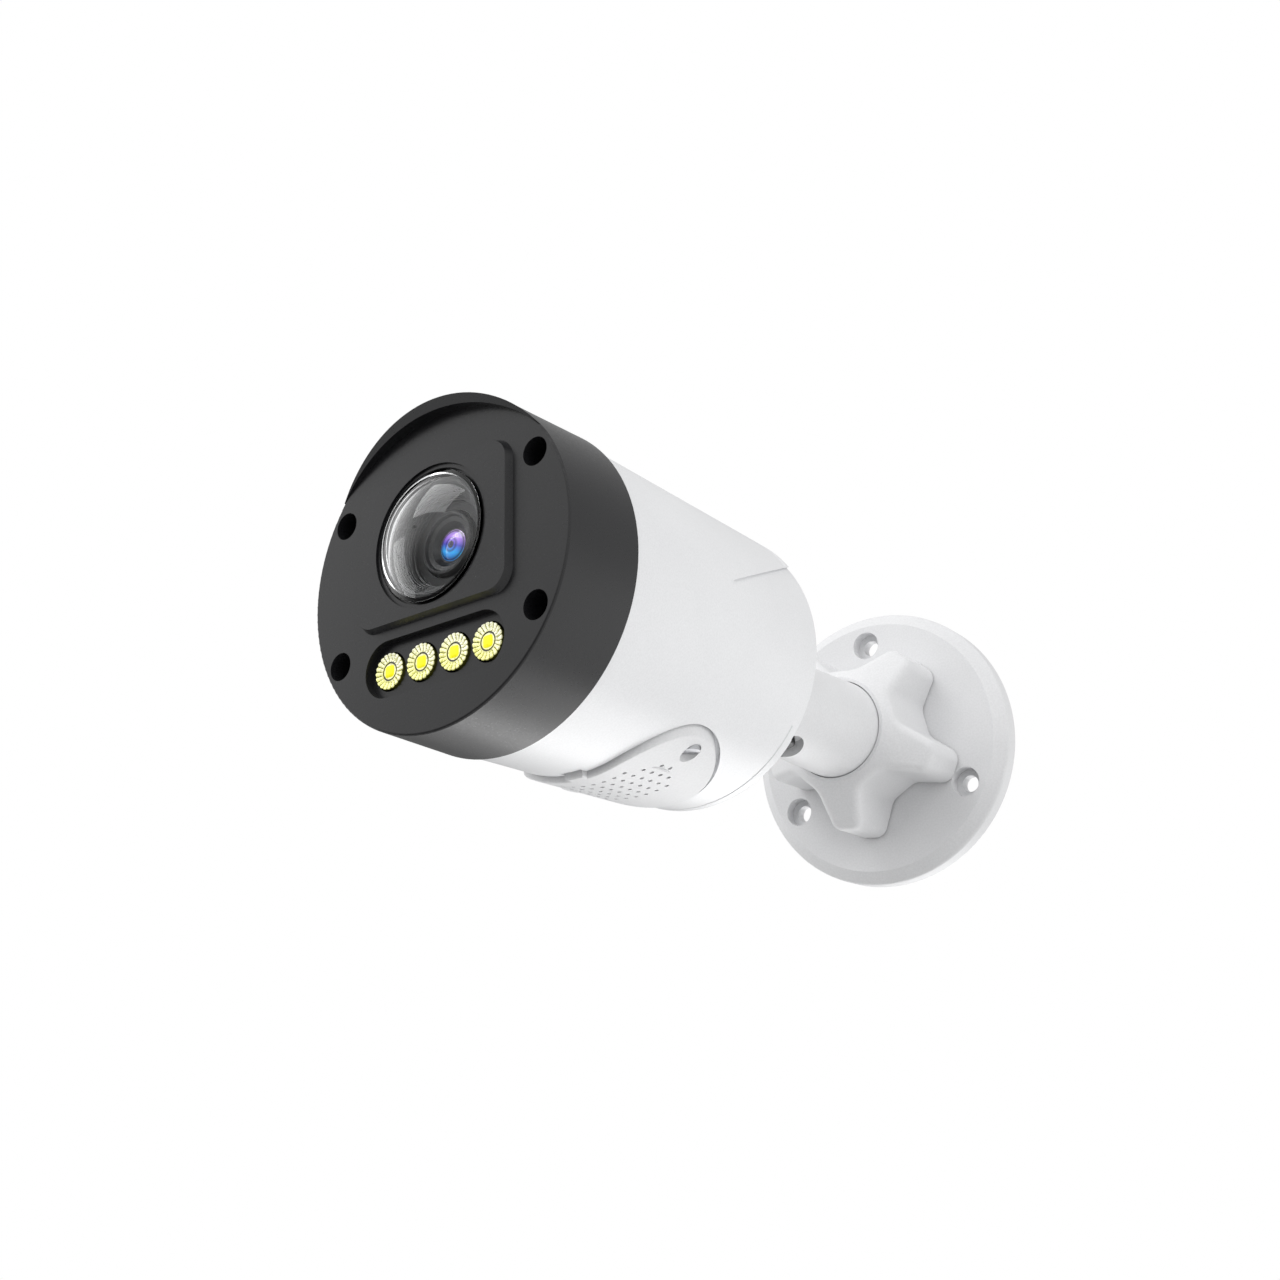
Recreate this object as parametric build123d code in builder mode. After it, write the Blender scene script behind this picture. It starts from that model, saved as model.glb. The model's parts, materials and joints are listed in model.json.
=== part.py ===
from build123d import *
import math
import os

# Bullet security camera on a swivel-and-knuckle wall bracket, in millimetres.
#
# Origin: the centre of the bracket's back face, which lies against the wall.
# The wall is the plane Y = 0 and the camera looks along -Y, with +Z up.
# Places along the arm are given as a distance from the wall, so a point at
# distance d has Y = -d.

# ---------------------------------------------------------------- wall bracket
base_radius = 41.0
base_thickness = 6.8
base_bevel_width = 3.6
base_bevel_depth = 2.2
base_edge_round = 1.4
wall_hole_circle = 31.5          # radius on which the three wall screws sit
wall_hole_radius = 2.4
wall_counterbore_radius = 4.2
wall_counterbore_depth = 3.6
wall_hole_count = 3
boss_radius = 17.3               # threaded boss that the lock collar screws onto
boss_bore_radius = 12.0
boss_length = 15.8

# ----------------------------------------------------------------- lock collar
collar_length = 23.4
collar_base_gap = 0.5            # between the collar and the plate when tight
collar_lobe_count = 5
collar_lobe_first_angle = 47.0
collar_valley_radius = 18.2
collar_tip_radius = 27.6
collar_root_half_width = 7.0     # of a lobe where it leaves the hub
collar_tip_half_width = 4.3
collar_valley_round = 4.5
collar_tip_round = 3.6
collar_shoulder_drop = 9.4       # how far the front cone falls from mouth to lobe tip
collar_mouth_width = 1.0         # flat rim round the mouth
collar_front_round = 2.8

# ---------------------------------------------------------------- swivel arm
arm_foot_radius = 13.9           # where the arm enters the collar
arm_end_radius = 13.2            # at the knuckle
arm_flare_length = 20.0
arm_core_radius = 8.0
arm_flange_radius = 16.9
arm_flange_thickness = 3.2
washer_thickness = 0.8
running_gap = 0.08               # radial clearance of a turning fit
mouth_gap = 0.25

# ------------------------------------------------------------------- knuckle
knuckle_reach = 35.0             # from the pivot to the camera's rear face
tongue_radius = 9.6
tongue_half_height = 6.4
tongue_washer_thickness = 0.6
pivot_screw_radius = 2.5
pivot_head_radius = 5.4
pivot_head_height = 2.4
pivot_pocket_radius = 7.6
pivot_pocket_depth = 3.6
pivot_nut_flats = 8.0
pivot_key_flats = 4.0            # hexagon key recess
pivot_key_depth = 1.7
pivot_head_round = 0.8
pivot_screw_inset = 0.4          # screw end below the arm's top
pivot_nut_inset = 0.8            # nut face below the arm's top
arm_core_end_gap = 4.0           # solid web between the arm's core and the slot
knuckle_gap = 0.4
axial_gap = 0.05

# ----------------------------------------------------------------------- neck
neck_radius = 13.0
neck_spindle_radius = 11.5
neck_gap = 0.3                   # between the neck's shoulder and the rear cap
neck_edge_round = 1.2
retainer_radius = 16.0
retainer_thickness = 3.5
seal_groove_depth = 1.1
seal_groove_width = 1.8
front_seal_depth = 0.5

# ---------------------------------------------------------------- camera shell
face_to_wall = 190.0
cap_face_radius = 35.0
cap_rear_radius = 35.85
cap_length = 19.8
cap_plate_thickness = 3.6
cap_bore_radius = 33.0
cap_edge_round = 0.5
housing_radius = 35.0
housing_bore_radius = 30.8
housing_collar_bore = 28.2       # narrower bore around the front screws
housing_collar_length = 10.0
housing_spigot_length = 4.8
housing_collar_slope = 2.6       # length of the cone behind the narrower bore
spigot_gap = 0.1
rear_cap_thickness = 4.0
rear_cap_spigot_length = 4.0
rear_cap_edge_round = 1.8
seam_chamfer = 0.3
shell_length = 87.0              # from the face to the seam of the rear cap

# Shallow fan-shaped recesses on both flanks, open to the rear.
flank_start = 54.8               # behind the face
flank_middle = 0.6               # height of the fan's middle line
flank_start_half_height = 3.2
flank_spread = 0.455             # how fast each edge leaves the middle line
flank_turn = 81.5                # behind the face, where the lower edge turns down
flank_turn_slope = 1.0
flank_depth = 0.8
flank_corner_round = 2.4
flank_overrun = 1.0              # how far the cutter runs past the surfaces it cuts

# ------------------------------------------------------------------- front face
visor_reach = 3.1
visor_start_height = 21.5        # the visor grows from nothing above this height
visor_width = 2.3                # of the crescent at the top
front_screw_x = 26.5
front_screw_z = 15.8
front_screw_recess_radius = 3.0
front_screw_recess_depth = 12.0
front_screw_floor = 3.0
front_screw_radius = 1.5
front_screw_head_radius = 2.75
front_screw_head_height = 3.0
front_screw_length = 15.0
front_screw_key_radius = 1.3     # across the corners of the hexagon recess
front_screw_key_depth = 1.8
front_screw_tip_gap = 1.0
front_post_radius = 4.4
post_root_depth = 0.8            # how far the posts run into the cap's wall
panel_half_width = 20.9
panel_bottom = -11.3
panel_top = 21.5
panel_height = 1.6
panel_corner_radius = 5.0
panel_wall_angle = 24.0
window_z = 5.5
window_seat_radius = 15.3
window_seat_depth = 0.5
window_step_radius = 14.4
window_step_depth = 1.3
window_hole_radius = 12.4
dome_radius = 13.9
dome_rise = 4.7
dome_thickness = 1.3
dome_rim_thickness = 1.0
window_seal_thickness = 0.5
baffle_setback = 0.3             # front of the baffle behind the seat of the window

# ------------------------------------------------------------------------ lamps
lamp_z = -19.4
lamp_pitch = 8.87
lamp_count = 4
lamp_slot_length = 37.6
lamp_slot_height = 12.0
lamp_slot_depth = 1.8
lamp_lens_radius = 4.0
lamp_lens_depth = 4.0
lamp_lens_foot_radius = 2.4
lamp_hole_gap = 0.1
lamp_rim_height = 0.6
lamp_proud = 0.8                 # front of the lamp lenses above the slot floor
lamp_dish_depth = 1.4
lamp_dish_step = 0.6
lamp_chip_size = 2.6
lamp_chip_height = 0.6
lamp_board_thickness = 1.6

# ------------------------------------------------------------------ lens module
baffle_lip_width = 0.8
baffle_mouth_radius = 9.5
baffle_throat_radius = 7.3
baffle_cone_depth = 2.9
baffle_step_depth = 1.6
baffle_floor_thickness = 1.4
lens_head_radius = 7.0
lens_head_length = 13.0
lens_thread_radius = 6.0
lens_thread_length = 10.0
lens_glass_radius = 3.4
lens_glass_setback = 2.0
lens_glass_thickness = 2.0
lens_glass_bulge = 0.7
lens_setback = 3.5               # front of the lens behind the face
lens_rim_chamfer = 0.4
lens_rim_width = 0.5
lens_dish_step = 0.3
lens_dish_depth = 0.7
lens_cone_width = 1.4
lens_cone_depth = 0.9
lens_land_width = 0.4
holder_half_width = 16.0
holder_half_height = 9.0
holder_depth = 8.0
holder_wall = 1.5
holder_tube_radius = 8.4
holder_tube_length = 12.0
board_thickness = 1.6
sensor_board_size = 36.0
sensor_width = 9.0
sensor_height = 7.0
sensor_thickness = 1.2
shuttle_thickness = 1.0
shuttle_height = 12.0
shuttle_travel = 6.0
shuttle_half_length = 10.3
shuttle_front_gap = 0.5
filter_width = 5.2
filter_height = 6.4
filter_thickness = 0.5
coil_radius = 2.6
coil_length = 4.4
coil_inset = 0.6                 # from the end of the lens holder

# ------------------------------------------------------------------- main board
main_board_half_width = 22.0
main_board_bottom = -16.0
main_board_top = 20.0
board_gap = 14.4                 # between the main board and the sensor board
spacer_radius = 2.2
spacer_offset = 14.5
rear_post_radius = 2.5
rear_post_x = 19.0
rear_post_z = 12.5
processor_size = 13.0
processor_height = 1.5
header_width = 14.0
header_height = 6.0
header_depth = 5.0
header_inset = 1.0

# ---------------------------------------------------------- underside cover
cover_front = 44.1               # behind the face
cover_corner_radius = 13.4
cover_front_half_width = 9.5
cover_rear_length = 20.1         # from the widest place to the rear tip
cover_tab_half_width = 2.8
cover_tab_length = 2.0
cover_outer_radius = 36.3
cover_inner_radius = 33.6
cover_groove = 0.7
cover_rear_groove = 1.3          # the groove is wider at the rear by this much
cover_edge_round = 0.6
cover_screw_x = 19.0
cover_screw_back = 59.0          # behind the face
cover_screw_recess_radius = 2.4
cover_screw_recess_depth = 1.6
cover_screw_radius = 1.1
cover_screw_head_radius = 2.1
cover_screw_head_height = 1.1
cover_screw_length = 5.5
cover_pad_radius = 3.6
cover_pad_bottom = -29.0
cover_pad_top = -23.4
access_half_width = 15.0
access_front = 47.5
access_rear = 73.0
access_top = -27.0
grille_back = 56.8               # middle of the grille behind the face
grille_pitch = 3.05
grille_row_angle = 4.55
grille_hole_radius = 0.5
grille_overrun = 0.8             # the drill passes both faces by this much
grille_rows = (2, 4, 6, 6, 6, 6, 6, 6, 6, 4, 2)
microphone_x = 12.0
microphone_back = 52.0
microphone_size = 3.4
microphone_height = 1.1
speaker_length = 27.0
speaker_width = 17.0
speaker_depth = 3.2
speaker_rim = 1.2
speaker_seat_height = -30.4
speaker_seat_width = 1.6
speaker_seat_root = 0.4          # how far the speaker's seat runs into the cover
speaker_back_thickness = 1.2
cone_thickness = 0.4
cone_setback = 0.4
magnet_radius = 5.0
cover_seal_inset = 0.8
cover_seal_width = 1.0
cover_seal_depth = 0.6
cover_prism_bottom = -45.0       # below the camera
cover_prism_height = 33.0

# -------------------------------------------- card and reset board in the belly
belly_board_half_width = 18.0
belly_board_front = 46.5
belly_board_rear = 72.5
belly_board_thickness = 1.2
belly_board_height = -21.5       # height of its upper face
belly_post_radius = 1.8
belly_post_x = 16.0
belly_post_inset = 2.4
belly_post_bottom = -29.5
card_width = 11.0
card_length = 15.0
card_thickness = 0.8
card_socket_wall = 0.7
card_overhang = 2.0              # the card stands out of its socket to be gripped
card_x = -5.0
card_socket_front = 49.5
button_x = 9.0
button_back = 66.0
button_radius = 1.7
button_reach = 1.6
button_travel = 0.4
button_switch_size = 5.2
button_switch_height = 1.8
button_switch_floor = 0.4

# ------------------------------------------------------------------ cable inlet
gland_z = -22.6
gland_radius = 3.7
gland_flange_radius = 5.0
gland_flange_thickness = 1.4
gland_bore_radius = 2.4
gland_tail_length = 4.0
gland_tail_wall = 0.5
gland_shoulder = 1.0

# ------------------------------------------------------------------ rear screws
rear_screw_circle = 31.9
rear_screw_radius = 1.0
rear_screw_head_radius = 1.9
rear_screw_head_height = 1.4
rear_screw_recess = 2.0
rear_screw_length = 9.0
rear_screw_first_angle = 45.0
rear_screw_count = 4

# ------------------------------------------------- distances from the wall
boss_end = base_thickness + boss_length
collar_back = base_thickness + collar_base_gap
collar_front = collar_back + collar_length
arm_flange_back = boss_end + washer_thickness
arm_flange_front = arm_flange_back + arm_flange_thickness
cap_rear = face_to_wall - cap_length
seam = face_to_wall - shell_length
rear_face = seam - rear_cap_thickness
pivot = rear_face - knuckle_reach
spigot_end = cap_rear + housing_spigot_length
plate_back = face_to_wall - cap_plate_thickness
panel_front = face_to_wall + panel_height
dome_seat = panel_front - window_step_depth
baffle_front = dome_seat - baffle_setback
lens_front = face_to_wall - lens_setback
lens_head_back = lens_front - lens_head_length
lens_back = lens_head_back - lens_thread_length
holder_tube_front = lens_head_back - axial_gap
holder_front = holder_tube_front - holder_tube_length
sensor_board_front = holder_front - holder_depth
sensor_board_back = sensor_board_front - board_thickness
main_board_front = sensor_board_back - board_gap
main_board_back = main_board_front - board_thickness
lamp_floor = face_to_wall - lamp_slot_depth
lamp_front = lamp_floor + lamp_proud
lamp_lens_back = lamp_floor - lamp_lens_depth
lamp_board_front = lamp_lens_back - lamp_chip_height
lamp_board_back = lamp_board_front - lamp_board_thickness
post_end = face_to_wall - front_screw_recess_depth - front_screw_floor
front_seal_width = 1.8
front_seal_back = cap_rear + 1.4

front_screw_places = [
    (side_x * front_screw_x, side_z * front_screw_z)
    for side_x in (-1, 1)
    for side_z in (-1, 1)
]
lamp_places = [
    ((number - (lamp_count - 1) / 2) * lamp_pitch, lamp_z) for number in range(lamp_count)
]


def station(distance):
    """Plane across the camera's axis, facing the front: local x is X, local y is Z."""
    return Plane(origin=(0, -distance, 0), x_dir=(1, 0, 0), z_dir=(0, -1, 0))


def level(height):
    """Horizontal plane seen from above, with local x as X and local y as Y."""
    return Plane.XY.offset(height)


def turn(corners, mode=Mode.ADD, centre=(0, 0)):
    """Revolve (radius, distance from the wall) corners about a line along Y at (x, z)."""
    middle = (centre[0], 0, centre[1])
    with BuildSketch(Plane(origin=middle, x_dir=(1, 0, 0), z_dir=(0, 0, 1))) as half_section:
        with BuildLine():
            Polyline([(radius, -distance) for radius, distance in corners], close=True)
        make_face()
    revolve(half_section.sketch, axis=Axis(middle, (0, 1, 0)), mode=mode)


def ring(inner, outer, back, front, mode=Mode.ADD, centre=(0, 0)):
    """A plain ring about a line along Y."""
    corners = [(inner, back), (outer, back), (outer, front), (inner, front)]
    turn(corners, mode=mode, centre=centre)


def discs(places, radius, back, front, mode=Mode.ADD):
    """Round bars along Y at (x, z) places."""
    with BuildSketch(station(back)) as bars:
        with Locations(*places):
            Circle(radius)
    extrude(bars.sketch, amount=front - back, mode=mode)


def block(x_range, y_range, z_range, mode=Mode.ADD):
    """A box between two corners."""
    with BuildSketch(level(z_range[0])) as footprint:
        with Locations(((x_range[0] + x_range[1]) / 2, (y_range[0] + y_range[1]) / 2)):
            Rectangle(x_range[1] - x_range[0], y_range[1] - y_range[0])
    extrude(footprint.sketch, amount=z_range[1] - z_range[0], mode=mode)


def upright(x, distance, radius, bottom, top, mode=Mode.ADD):
    """A round bar along Z at a place given by x and the distance from the wall."""
    with BuildSketch(level(bottom)) as circle:
        with Locations((x, -distance)):
            Circle(radius)
    extrude(circle.sketch, amount=top - bottom, mode=mode)


def cap_middle(radius, rise, rim):
    """Point halfway along a spherical cap's arc, as (radius, distance from the wall)."""
    sphere = (radius ** 2 + rise ** 2) / (2 * rise)
    half_angle = math.asin(radius / sphere) / 2
    return (sphere * math.sin(half_angle), rim + rise - sphere * (1 - math.cos(half_angle)))


def save(builder, name):
    """Label a finished piece and write its STEP file."""
    builder.part.label = name
    export_step(builder.part, f"parts/{name}.step")


os.makedirs("parts", exist_ok=True)

# ============================================================ base plate
with BuildPart() as base_plate:
    turn([
        (boss_bore_radius, 0),
        (base_radius, 0),
        (base_radius, base_thickness - base_bevel_depth),
        (base_radius - base_bevel_width, base_thickness),
        (boss_radius, base_thickness),
        (boss_radius, boss_end),
        (boss_bore_radius, boss_end),
    ])
    rim = base_plate.edges().filter_by(GeomType.CIRCLE).group_by(SortBy.RADIUS)[-1]
    fillet(rim.sort_by(Axis.Y)[0], radius=base_edge_round)
    with BuildSketch(station(0)):
        with PolarLocations(wall_hole_circle, wall_hole_count, start_angle=90):
            Circle(wall_hole_radius)
    extrude(amount=base_thickness, mode=Mode.SUBTRACT)
    with BuildSketch(station(base_thickness)):
        with PolarLocations(wall_hole_circle, wall_hole_count, start_angle=90):
            Circle(wall_counterbore_radius)
    extrude(amount=-wall_counterbore_depth, mode=Mode.SUBTRACT)
save(base_plate, "base_plate")

# ============================================================ friction washer
with BuildPart() as friction_washer:
    ring(boss_bore_radius, arm_flange_radius, boss_end, arm_flange_back)
save(friction_washer, "friction_washer")

# ============================================================ lock collar
# Five tapered lobes around a hub, cut off in front by a shallow cone.
collar_mouth_radius = arm_foot_radius + mouth_gap
cone_foot = collar_front - collar_shoulder_drop
lobe_middle = (collar_valley_radius + collar_tip_radius) / 2
lobe_root = math.sqrt(collar_valley_radius ** 2 - collar_root_half_width ** 2)
lobe_corners = [
    Vector(lobe_root, -collar_root_half_width),
    Vector(collar_tip_radius, -collar_tip_half_width),
    Vector(collar_tip_radius, collar_tip_half_width),
    Vector(lobe_root, collar_root_half_width),
]
star_corners = [
    corner.rotate(Axis.Z, collar_lobe_first_angle + number * 360 / collar_lobe_count)
    for number in range(collar_lobe_count)
    for corner in lobe_corners
]


def reach(corner):
    """Distance of a sketch's corner from the middle of its plane."""
    return math.hypot(corner.X, corner.Y)


with BuildPart() as lock_collar:
    with BuildSketch(station(collar_back)) as star:
        with BuildLine():
            Polyline(star_corners, close=True)
        make_face()
        tips = star.vertices().filter_by(lambda corner: reach(corner) > collar_tip_radius)
        fillet(tips, radius=collar_tip_round)
        roots = star.vertices().filter_by(lambda corner: reach(corner) < lobe_middle)
        fillet(roots, radius=collar_valley_round)
    extrude(amount=collar_length)
    turn([
        (0, collar_back),
        (collar_tip_radius + 2, collar_back),
        (collar_tip_radius + 2, cone_foot),
        (collar_mouth_radius + collar_mouth_width, collar_front),
        (0, collar_front),
    ], mode=Mode.INTERSECT)
    cone_edges = lock_collar.edges().filter_by(
        lambda edge: cone_foot - 1 < -edge.center().Y < collar_front - collar_mouth_width / 2)
    fillet(cone_edges, radius=collar_front_round)
    ring(0, collar_mouth_radius, collar_back - 1, collar_front + 1, mode=Mode.SUBTRACT)
    ring(0, boss_radius + running_gap, collar_back - 1, arm_flange_front + axial_gap,
         mode=Mode.SUBTRACT)
save(lock_collar, "lock_collar")

# ============================================================ swivel arm
slot_half_height = tongue_half_height + tongue_washer_thickness + axial_gap
slot_radius = tongue_radius + knuckle_gap
arm_nose = pivot + arm_end_radius
arm_bottom = -arm_end_radius
pocket_floor = arm_bottom + pivot_pocket_depth
nut_floor = -pocket_floor
core_end = pivot - slot_radius - arm_core_end_gap
with BuildPart() as swivel_arm:
    turn([
        (arm_core_radius, base_thickness),
        (boss_bore_radius - running_gap, base_thickness),
        (boss_bore_radius - running_gap, arm_flange_back),
        (arm_flange_radius, arm_flange_back),
        (arm_flange_radius, arm_flange_front),
        (arm_foot_radius, arm_flange_front),
        (arm_foot_radius, collar_front + 1),
        (arm_end_radius, collar_front + arm_flare_length),
        (arm_end_radius, arm_nose),
        (0, arm_nose),
        (0, core_end),
        (arm_core_radius, core_end - arm_core_radius),
    ])
    # Rounded nose: the arm ends in a half circle about the pivot.
    with BuildSketch(level(-2 * arm_end_radius)):
        with BuildLine():
            Line((arm_end_radius, -pivot), (2 * arm_flange_radius, -pivot))
            Line((2 * arm_flange_radius, -pivot), (2 * arm_flange_radius, 0))
            Line((2 * arm_flange_radius, 0), (-2 * arm_flange_radius, 0))
            Line((-2 * arm_flange_radius, 0), (-2 * arm_flange_radius, -pivot))
            Line((-2 * arm_flange_radius, -pivot), (-arm_end_radius, -pivot))
            ThreePointArc((-arm_end_radius, -pivot), (0, -arm_nose), (arm_end_radius, -pivot))
        make_face()
    extrude(amount=4 * arm_end_radius, mode=Mode.INTERSECT)
    # Slot for the tongue, open to the front and to the -X side.
    slot_z = (-slot_half_height, slot_half_height)
    upright(0, pivot, slot_radius, *slot_z, mode=Mode.SUBTRACT)
    block((-2 * arm_end_radius, 0), (-arm_nose - 1, -pivot + slot_radius), slot_z,
          mode=Mode.SUBTRACT)
    block((0, slot_radius), (-arm_nose - 1, -pivot), slot_z, mode=Mode.SUBTRACT)
    block((0, 2 * arm_end_radius), (-arm_nose - 1, -pivot - slot_radius / 2), slot_z,
          mode=Mode.SUBTRACT)
    upright(0, pivot, pivot_screw_radius, 2 * arm_bottom, -2 * arm_bottom, mode=Mode.SUBTRACT)
    upright(0, pivot, pivot_pocket_radius, 2 * arm_bottom, pocket_floor, mode=Mode.SUBTRACT)
    with BuildSketch(level(nut_floor)):
        with Locations((0, -pivot)):
            RegularPolygon(pivot_nut_flats / 2, 6, major_radius=False)
    extrude(amount=arm_end_radius, mode=Mode.SUBTRACT)
save(swivel_arm, "swivel_arm")

# ============================================================ knuckle hardware
with BuildPart() as knuckle_washers:
    for washer_bottom in (tongue_half_height, -tongue_half_height - tongue_washer_thickness):
        upright(0, pivot, tongue_radius, washer_bottom, washer_bottom + tongue_washer_thickness)
    upright(0, pivot, pivot_screw_radius, -slot_half_height, slot_half_height, mode=Mode.SUBTRACT)
save(knuckle_washers, "knuckle_washers")

with BuildPart() as pivot_screw:
    upright(0, pivot, pivot_head_radius, pocket_floor - pivot_head_height, pocket_floor)
    fillet(pivot_screw.edges().sort_by(Axis.Z)[0], radius=pivot_head_round)
    with BuildSketch(level(pocket_floor - pivot_head_height)):
        with Locations((0, -pivot)):
            RegularPolygon(pivot_key_flats / 2, 6, major_radius=False)
    extrude(amount=pivot_key_depth, mode=Mode.SUBTRACT)
    upright(0, pivot, pivot_screw_radius, pocket_floor, arm_end_radius - pivot_screw_inset)
save(pivot_screw, "pivot_screw")

with BuildPart() as pivot_nut:
    with BuildSketch(level(nut_floor)):
        with Locations((0, -pivot)):
            RegularPolygon(pivot_nut_flats / 2, 6, major_radius=False)
            Circle(pivot_screw_radius, mode=Mode.SUBTRACT)
    extrude(amount=arm_end_radius - nut_floor - pivot_nut_inset)
save(pivot_nut, "pivot_nut")

# ============================================================ neck
neck_front = rear_face - neck_gap
neck_back = pivot + arm_end_radius + knuckle_gap
washer_front = seam + axial_gap + washer_thickness
retainer_front = washer_front + retainer_thickness
groove_middle = rear_face + rear_cap_thickness / 2
groove_back = groove_middle - seal_groove_width / 2
groove_front = groove_middle + seal_groove_width / 2
with BuildPart() as neck:
    turn([
        (0, neck_back),
        (neck_radius, neck_back),
        (neck_radius, neck_front),
        (neck_spindle_radius, neck_front),
        (neck_spindle_radius, groove_back),
        (neck_spindle_radius - seal_groove_depth, groove_back),
        (neck_spindle_radius - seal_groove_depth, groove_front),
        (neck_spindle_radius, groove_front),
        (neck_spindle_radius, retainer_front),
        (0, retainer_front),
    ])
    shoulders = neck.edges().filter_by(GeomType.CIRCLE).filter_by(
        lambda edge: abs(edge.radius - neck_radius) < 0.01)
    fillet(shoulders, radius=neck_edge_round)
    tongue_z = (-tongue_half_height, tongue_half_height)
    upright(0, pivot, tongue_radius, *tongue_z)
    block((-tongue_radius, tongue_radius), (-neck_back - 1, -pivot), tongue_z)
    upright(0, pivot, pivot_screw_radius + running_gap, -2 * neck_radius, 2 * neck_radius,
            mode=Mode.SUBTRACT)
save(neck, "neck")

with BuildPart() as neck_seal:
    ring(neck_spindle_radius - seal_groove_depth, neck_spindle_radius, groove_back, groove_front)
save(neck_seal, "neck_seal")

with BuildPart() as neck_washer:
    ring(neck_spindle_radius, retainer_radius, seam + axial_gap, washer_front)
save(neck_washer, "neck_washer")

with BuildPart() as neck_retainer:
    with BuildSketch(station(washer_front)):
        RegularPolygon(retainer_radius, 12)
        Circle(neck_spindle_radius, mode=Mode.SUBTRACT)
    extrude(amount=retainer_thickness)
save(neck_retainer, "neck_retainer")


# ============================================================ shell helpers
def cut_flank_recesses():
    """Cut the two fan-shaped recesses out of the current part."""
    rear = shell_length + rear_cap_thickness + flank_overrun
    turn_height = flank_start_half_height + flank_spread * (flank_turn - flank_start)
    fan_corners = [
        (flank_start, -flank_start_half_height),
        (flank_start, flank_start_half_height),
        (rear, flank_start_half_height + flank_spread * (rear - flank_start)),
        (rear, -turn_height - flank_turn_slope * (rear - flank_turn)),
        (flank_turn, -turn_height),
    ]
    with BuildPart(mode=Mode.PRIVATE) as cutter:
        ring(housing_radius - flank_depth, housing_radius + flank_overrun,
             face_to_wall - rear, face_to_wall - flank_start)
        with BuildSketch(Plane.YZ) as fan:
            with BuildLine():
                Polyline([(behind - face_to_wall, flank_middle + height)
                          for behind, height in fan_corners], close=True)
            make_face()
            fillet(fan.vertices().sort_by(Axis.X)[:2], radius=flank_corner_round)
        extrude(fan.sketch, amount=housing_radius + flank_overrun, both=True,
                mode=Mode.INTERSECT)
    add(cutter.part, mode=Mode.SUBTRACT)


def cover_outline(margin, tab_margin=None, rear_margin=0):
    """Plan view of the cover, grown by a margin: straight in front, half an ellipse behind."""
    front = cover_front - face_to_wall - margin
    corner = cover_corner_radius + margin
    widest = front + corner
    half_width = cover_front_half_width + corner
    with BuildSketch() as plan:
        with BuildLine():
            Line((-cover_front_half_width, front), (cover_front_half_width, front))
            CenterArc((cover_front_half_width, widest), corner, -90, 90)
            EllipticalCenterArc((0, widest), half_width,
                                cover_rear_length + margin + rear_margin, 0, arc_size=180)
            CenterArc((-cover_front_half_width, widest), corner, 180, 90)
        make_face()
        if tab_margin is not None:
            with Locations((0, front)):
                Rectangle(2 * (cover_tab_half_width + tab_margin),
                          2 * (cover_tab_length + tab_margin))
    return plan.sketch


def cover_prism(margin, tab_margin=None, rear_margin=0, mode=Mode.ADD):
    """The cover's plan extruded upwards from below the camera."""
    plan = cover_outline(margin, tab_margin, rear_margin)
    plan = plan.moved(Location((0, 0, cover_prism_bottom)))
    extrude(plan, amount=cover_prism_height, mode=mode)


# ============================================================ main housing
# The cover's pocket is the space between its outline and the wall left below it.
with BuildPart() as cover_pocket:
    cover_prism(cover_groove, 0, cover_rear_groove)
    ring(0, cover_inner_radius, seam, cap_rear, mode=Mode.SUBTRACT)

# Rubber ring under the cover, in a groove of the housing.
with BuildPart() as cover_seal:
    cover_prism(-cover_seal_inset)
    cover_prism(-cover_seal_inset - cover_seal_width, mode=Mode.SUBTRACT)
    ring(cover_inner_radius - cover_seal_depth, cover_inner_radius, seam, cap_rear,
         mode=Mode.INTERSECT)
save(cover_seal, "cover_seal")

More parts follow.
